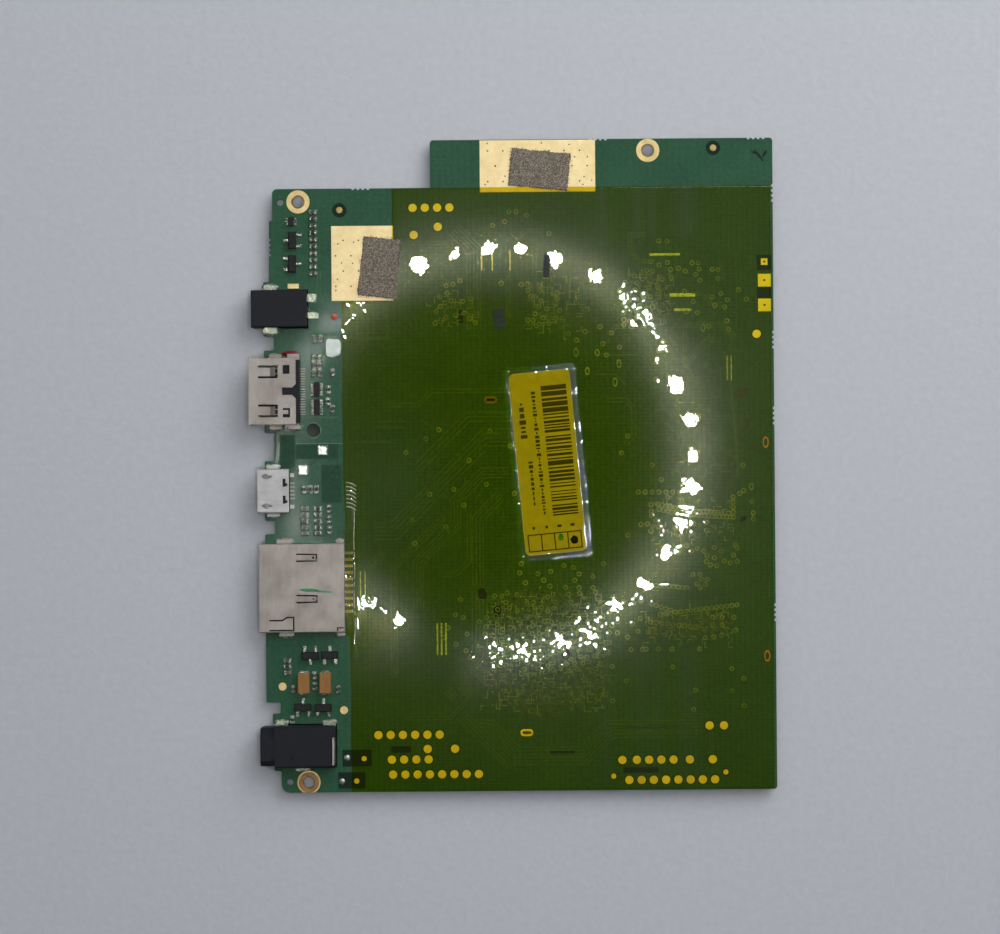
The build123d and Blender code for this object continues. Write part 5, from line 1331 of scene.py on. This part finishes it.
piece("teal_marker_line", [strip(line, 0.5, 0.0, 0.01)], teal)
SMEAR = [(81.0, 67.2, 3.0, 1.4, 0.0, 122, 0.006, 20), (81.9, 62.2, 2.4, 0.8, 0.0, 123, 0.006, 60),
         (80.7, 59.6, 1.9, 0.6, 0.0, 124, 0.006, -30), (82.6, 57.9, 1.6, 0.5, 0.0, 125, 0.006, 10)]
piece("brown_smear", [splash(*patch) for patch in SMEAR], brown)
ovals = [ring(85.1, y, 0.34, 0.5, 0, RING_HIGH, 20, 2.0) for y in (58.9, 22.6)]
piece("edge_ovals", ovals, paint("amber_resin", (168, 112, 34), (206, 146, 58)))
cover_top = (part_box("card_socket_cover")[1].z - board_high.z) / MM
stroke = [splash(7.5, 34.45, 3.4, 0.6, cover_top, 126, 0.006, -3, ragged=0.2),
          splash(9.9, 34.2, 3.4, 0.35, cover_top, 127, 0.006, -4, ragged=0.25)]
piece("green_marker_stroke", stroke, green)

# %% [markdown]
# ## Studio: floor, lamps and camera
#
# The board lies on a plain pale sheet. A round of small lamps stands about the camera: it gives much
# of the light and draws the circle of glints on the film. Two soft lamps stand to the sides, out of
# what the film mirrors. The sky is dark overhead, like the camera and whoever holds it, and brightest
# in a ring about them, so the film looks deep in its middle and veiled round the glints.

# %% Floor
floor_finish = mottled("pale_sheet", (184, 187, 193), (190, 193, 199), 1.2, 0.8, bumps=(0.8, 0.03))
floor_mesh = bpy.data.meshes.new("floor")
REACH = 1.5
corners = [(-REACH, -REACH, 0), (REACH, -REACH, 0), (REACH, REACH, 0), (-REACH, REACH, 0)]
floor_mesh.from_pydata(corners, [], [(0, 1, 2, 3)])
floor_mesh.materials.append(floor_finish)
floor = bpy.data.objects.new("floor", floor_mesh)
bpy.context.scene.collection.objects.link(floor)

# %% Lamps
EYE_HEIGHT = 0.45
eye_x, eye_y, _ = spot(*RING_MIDDLE)
eye_z = board_high.z + EYE_HEIGHT


def lamp(name, kind, watts, place, size, turn=(0, 0, 0)):
    """One lamp in the scene."""
    data = bpy.data.lights.new(name, kind)
    data.energy = watts
    if kind == "AREA":
        data.size = size
    else:
        data.shadow_soft_size = size
    made = bpy.data.objects.new(name, data)
    made.location, made.rotation_euler = place, turn
    bpy.context.scene.collection.objects.link(made)
    return made


LAMPS, UNLIT = 36, (25, 26)
RING_WATTS, RING_SIZE, SOFT_SIZE = 0.07, 0.0018, 0.45
# watts and place, in metres from the part's middle
SOFT_LAMPS = (("right", 2.25, (0.27, 0.33, 0.33)), ("left", 0.5, (-0.36, 0.42, 0.42)))
for index in range(LAMPS):
    t = 2 * math.pi * index / LAMPS
    place = (eye_x + 2 * RING_REACH * MM * math.cos(t), eye_y + 2 * RING_REACH * MM * math.sin(t), eye_z)
    if index not in UNLIT:
        lamp(f"ring_lamp_{index}", "POINT", RING_WATTS, place, RING_SIZE)
for side, watts, place in SOFT_LAMPS:
    turn = (-Vector(place)).to_track_quat("-Z", "Y").to_euler()
    lamp(f"soft_lamp_{side}", "AREA", watts, place, SOFT_SIZE, turn)
print("ring lamps:", LAMPS - len(UNLIT))

# %% Sky
sky = bpy.data.worlds.new("studio")
sky.use_nodes = True
tree = sky.node_tree
way = add_node(tree, "TexCoord").outputs["Generated"]
aside = add_node(tree, "VectorMath", Vector=way)
aside.operation = "MULTIPLY"
aside.inputs[1].default_value = (1, 1, 0)
reach = add_node(tree, "VectorMath", Vector=aside.outputs["Vector"])
reach.operation = "LENGTH"
# how far a direction leans from straight up, as a sine, and how bright the sky is there
SKY = [(0.0, 0.0), (0.066, 0.02), (0.085, 0.48), (0.11, 0.37), (0.16, 0.20), (0.3, 0.18), (1.0, 0.18)]
glow = ramp(tree, reach.outputs["Value"], *[(at, (0.91 * v, 0.96 * v, 1.04 * v, 1.0)) for at, v in SKY])
feed(tree, tree.nodes["Background"], Color=glow)
# the sky is also brighter towards the upper right than towards the lower left
lean = add_node(tree, "VectorMath", Vector=way)
lean.operation = "DOT_PRODUCT"
lean.inputs[1].default_value = (3.0, 2.3, 0)
feed(tree, tree.nodes["Background"], Strength=span(tree, lean.outputs["Value"], 0.12, 1.0, -0.42, 0.48))
bpy.context.scene.world = sky
print("levels of the sky:", len(SKY))

# %% Camera
SEEN_WIDE = 0.1698  # metres that fit across the view at the board's upper face
data = bpy.data.cameras.new("camera")
data.sensor_width = 36.0
data.lens = data.sensor_width * EYE_HEIGHT / SEEN_WIDE
data.shift_x, data.shift_y = 0.011, -0.0127
camera = bpy.data.objects.new("camera", data)
camera.location = (eye_x, eye_y, eye_z)
camera.rotation_euler = (0, 0, math.radians(-0.45))
bpy.context.scene.collection.objects.link(camera)
bpy.context.scene.camera = camera
bpy.context.scene.view_settings.view_transform = "Standard"
print("lens", round(data.lens, 1), "mm")
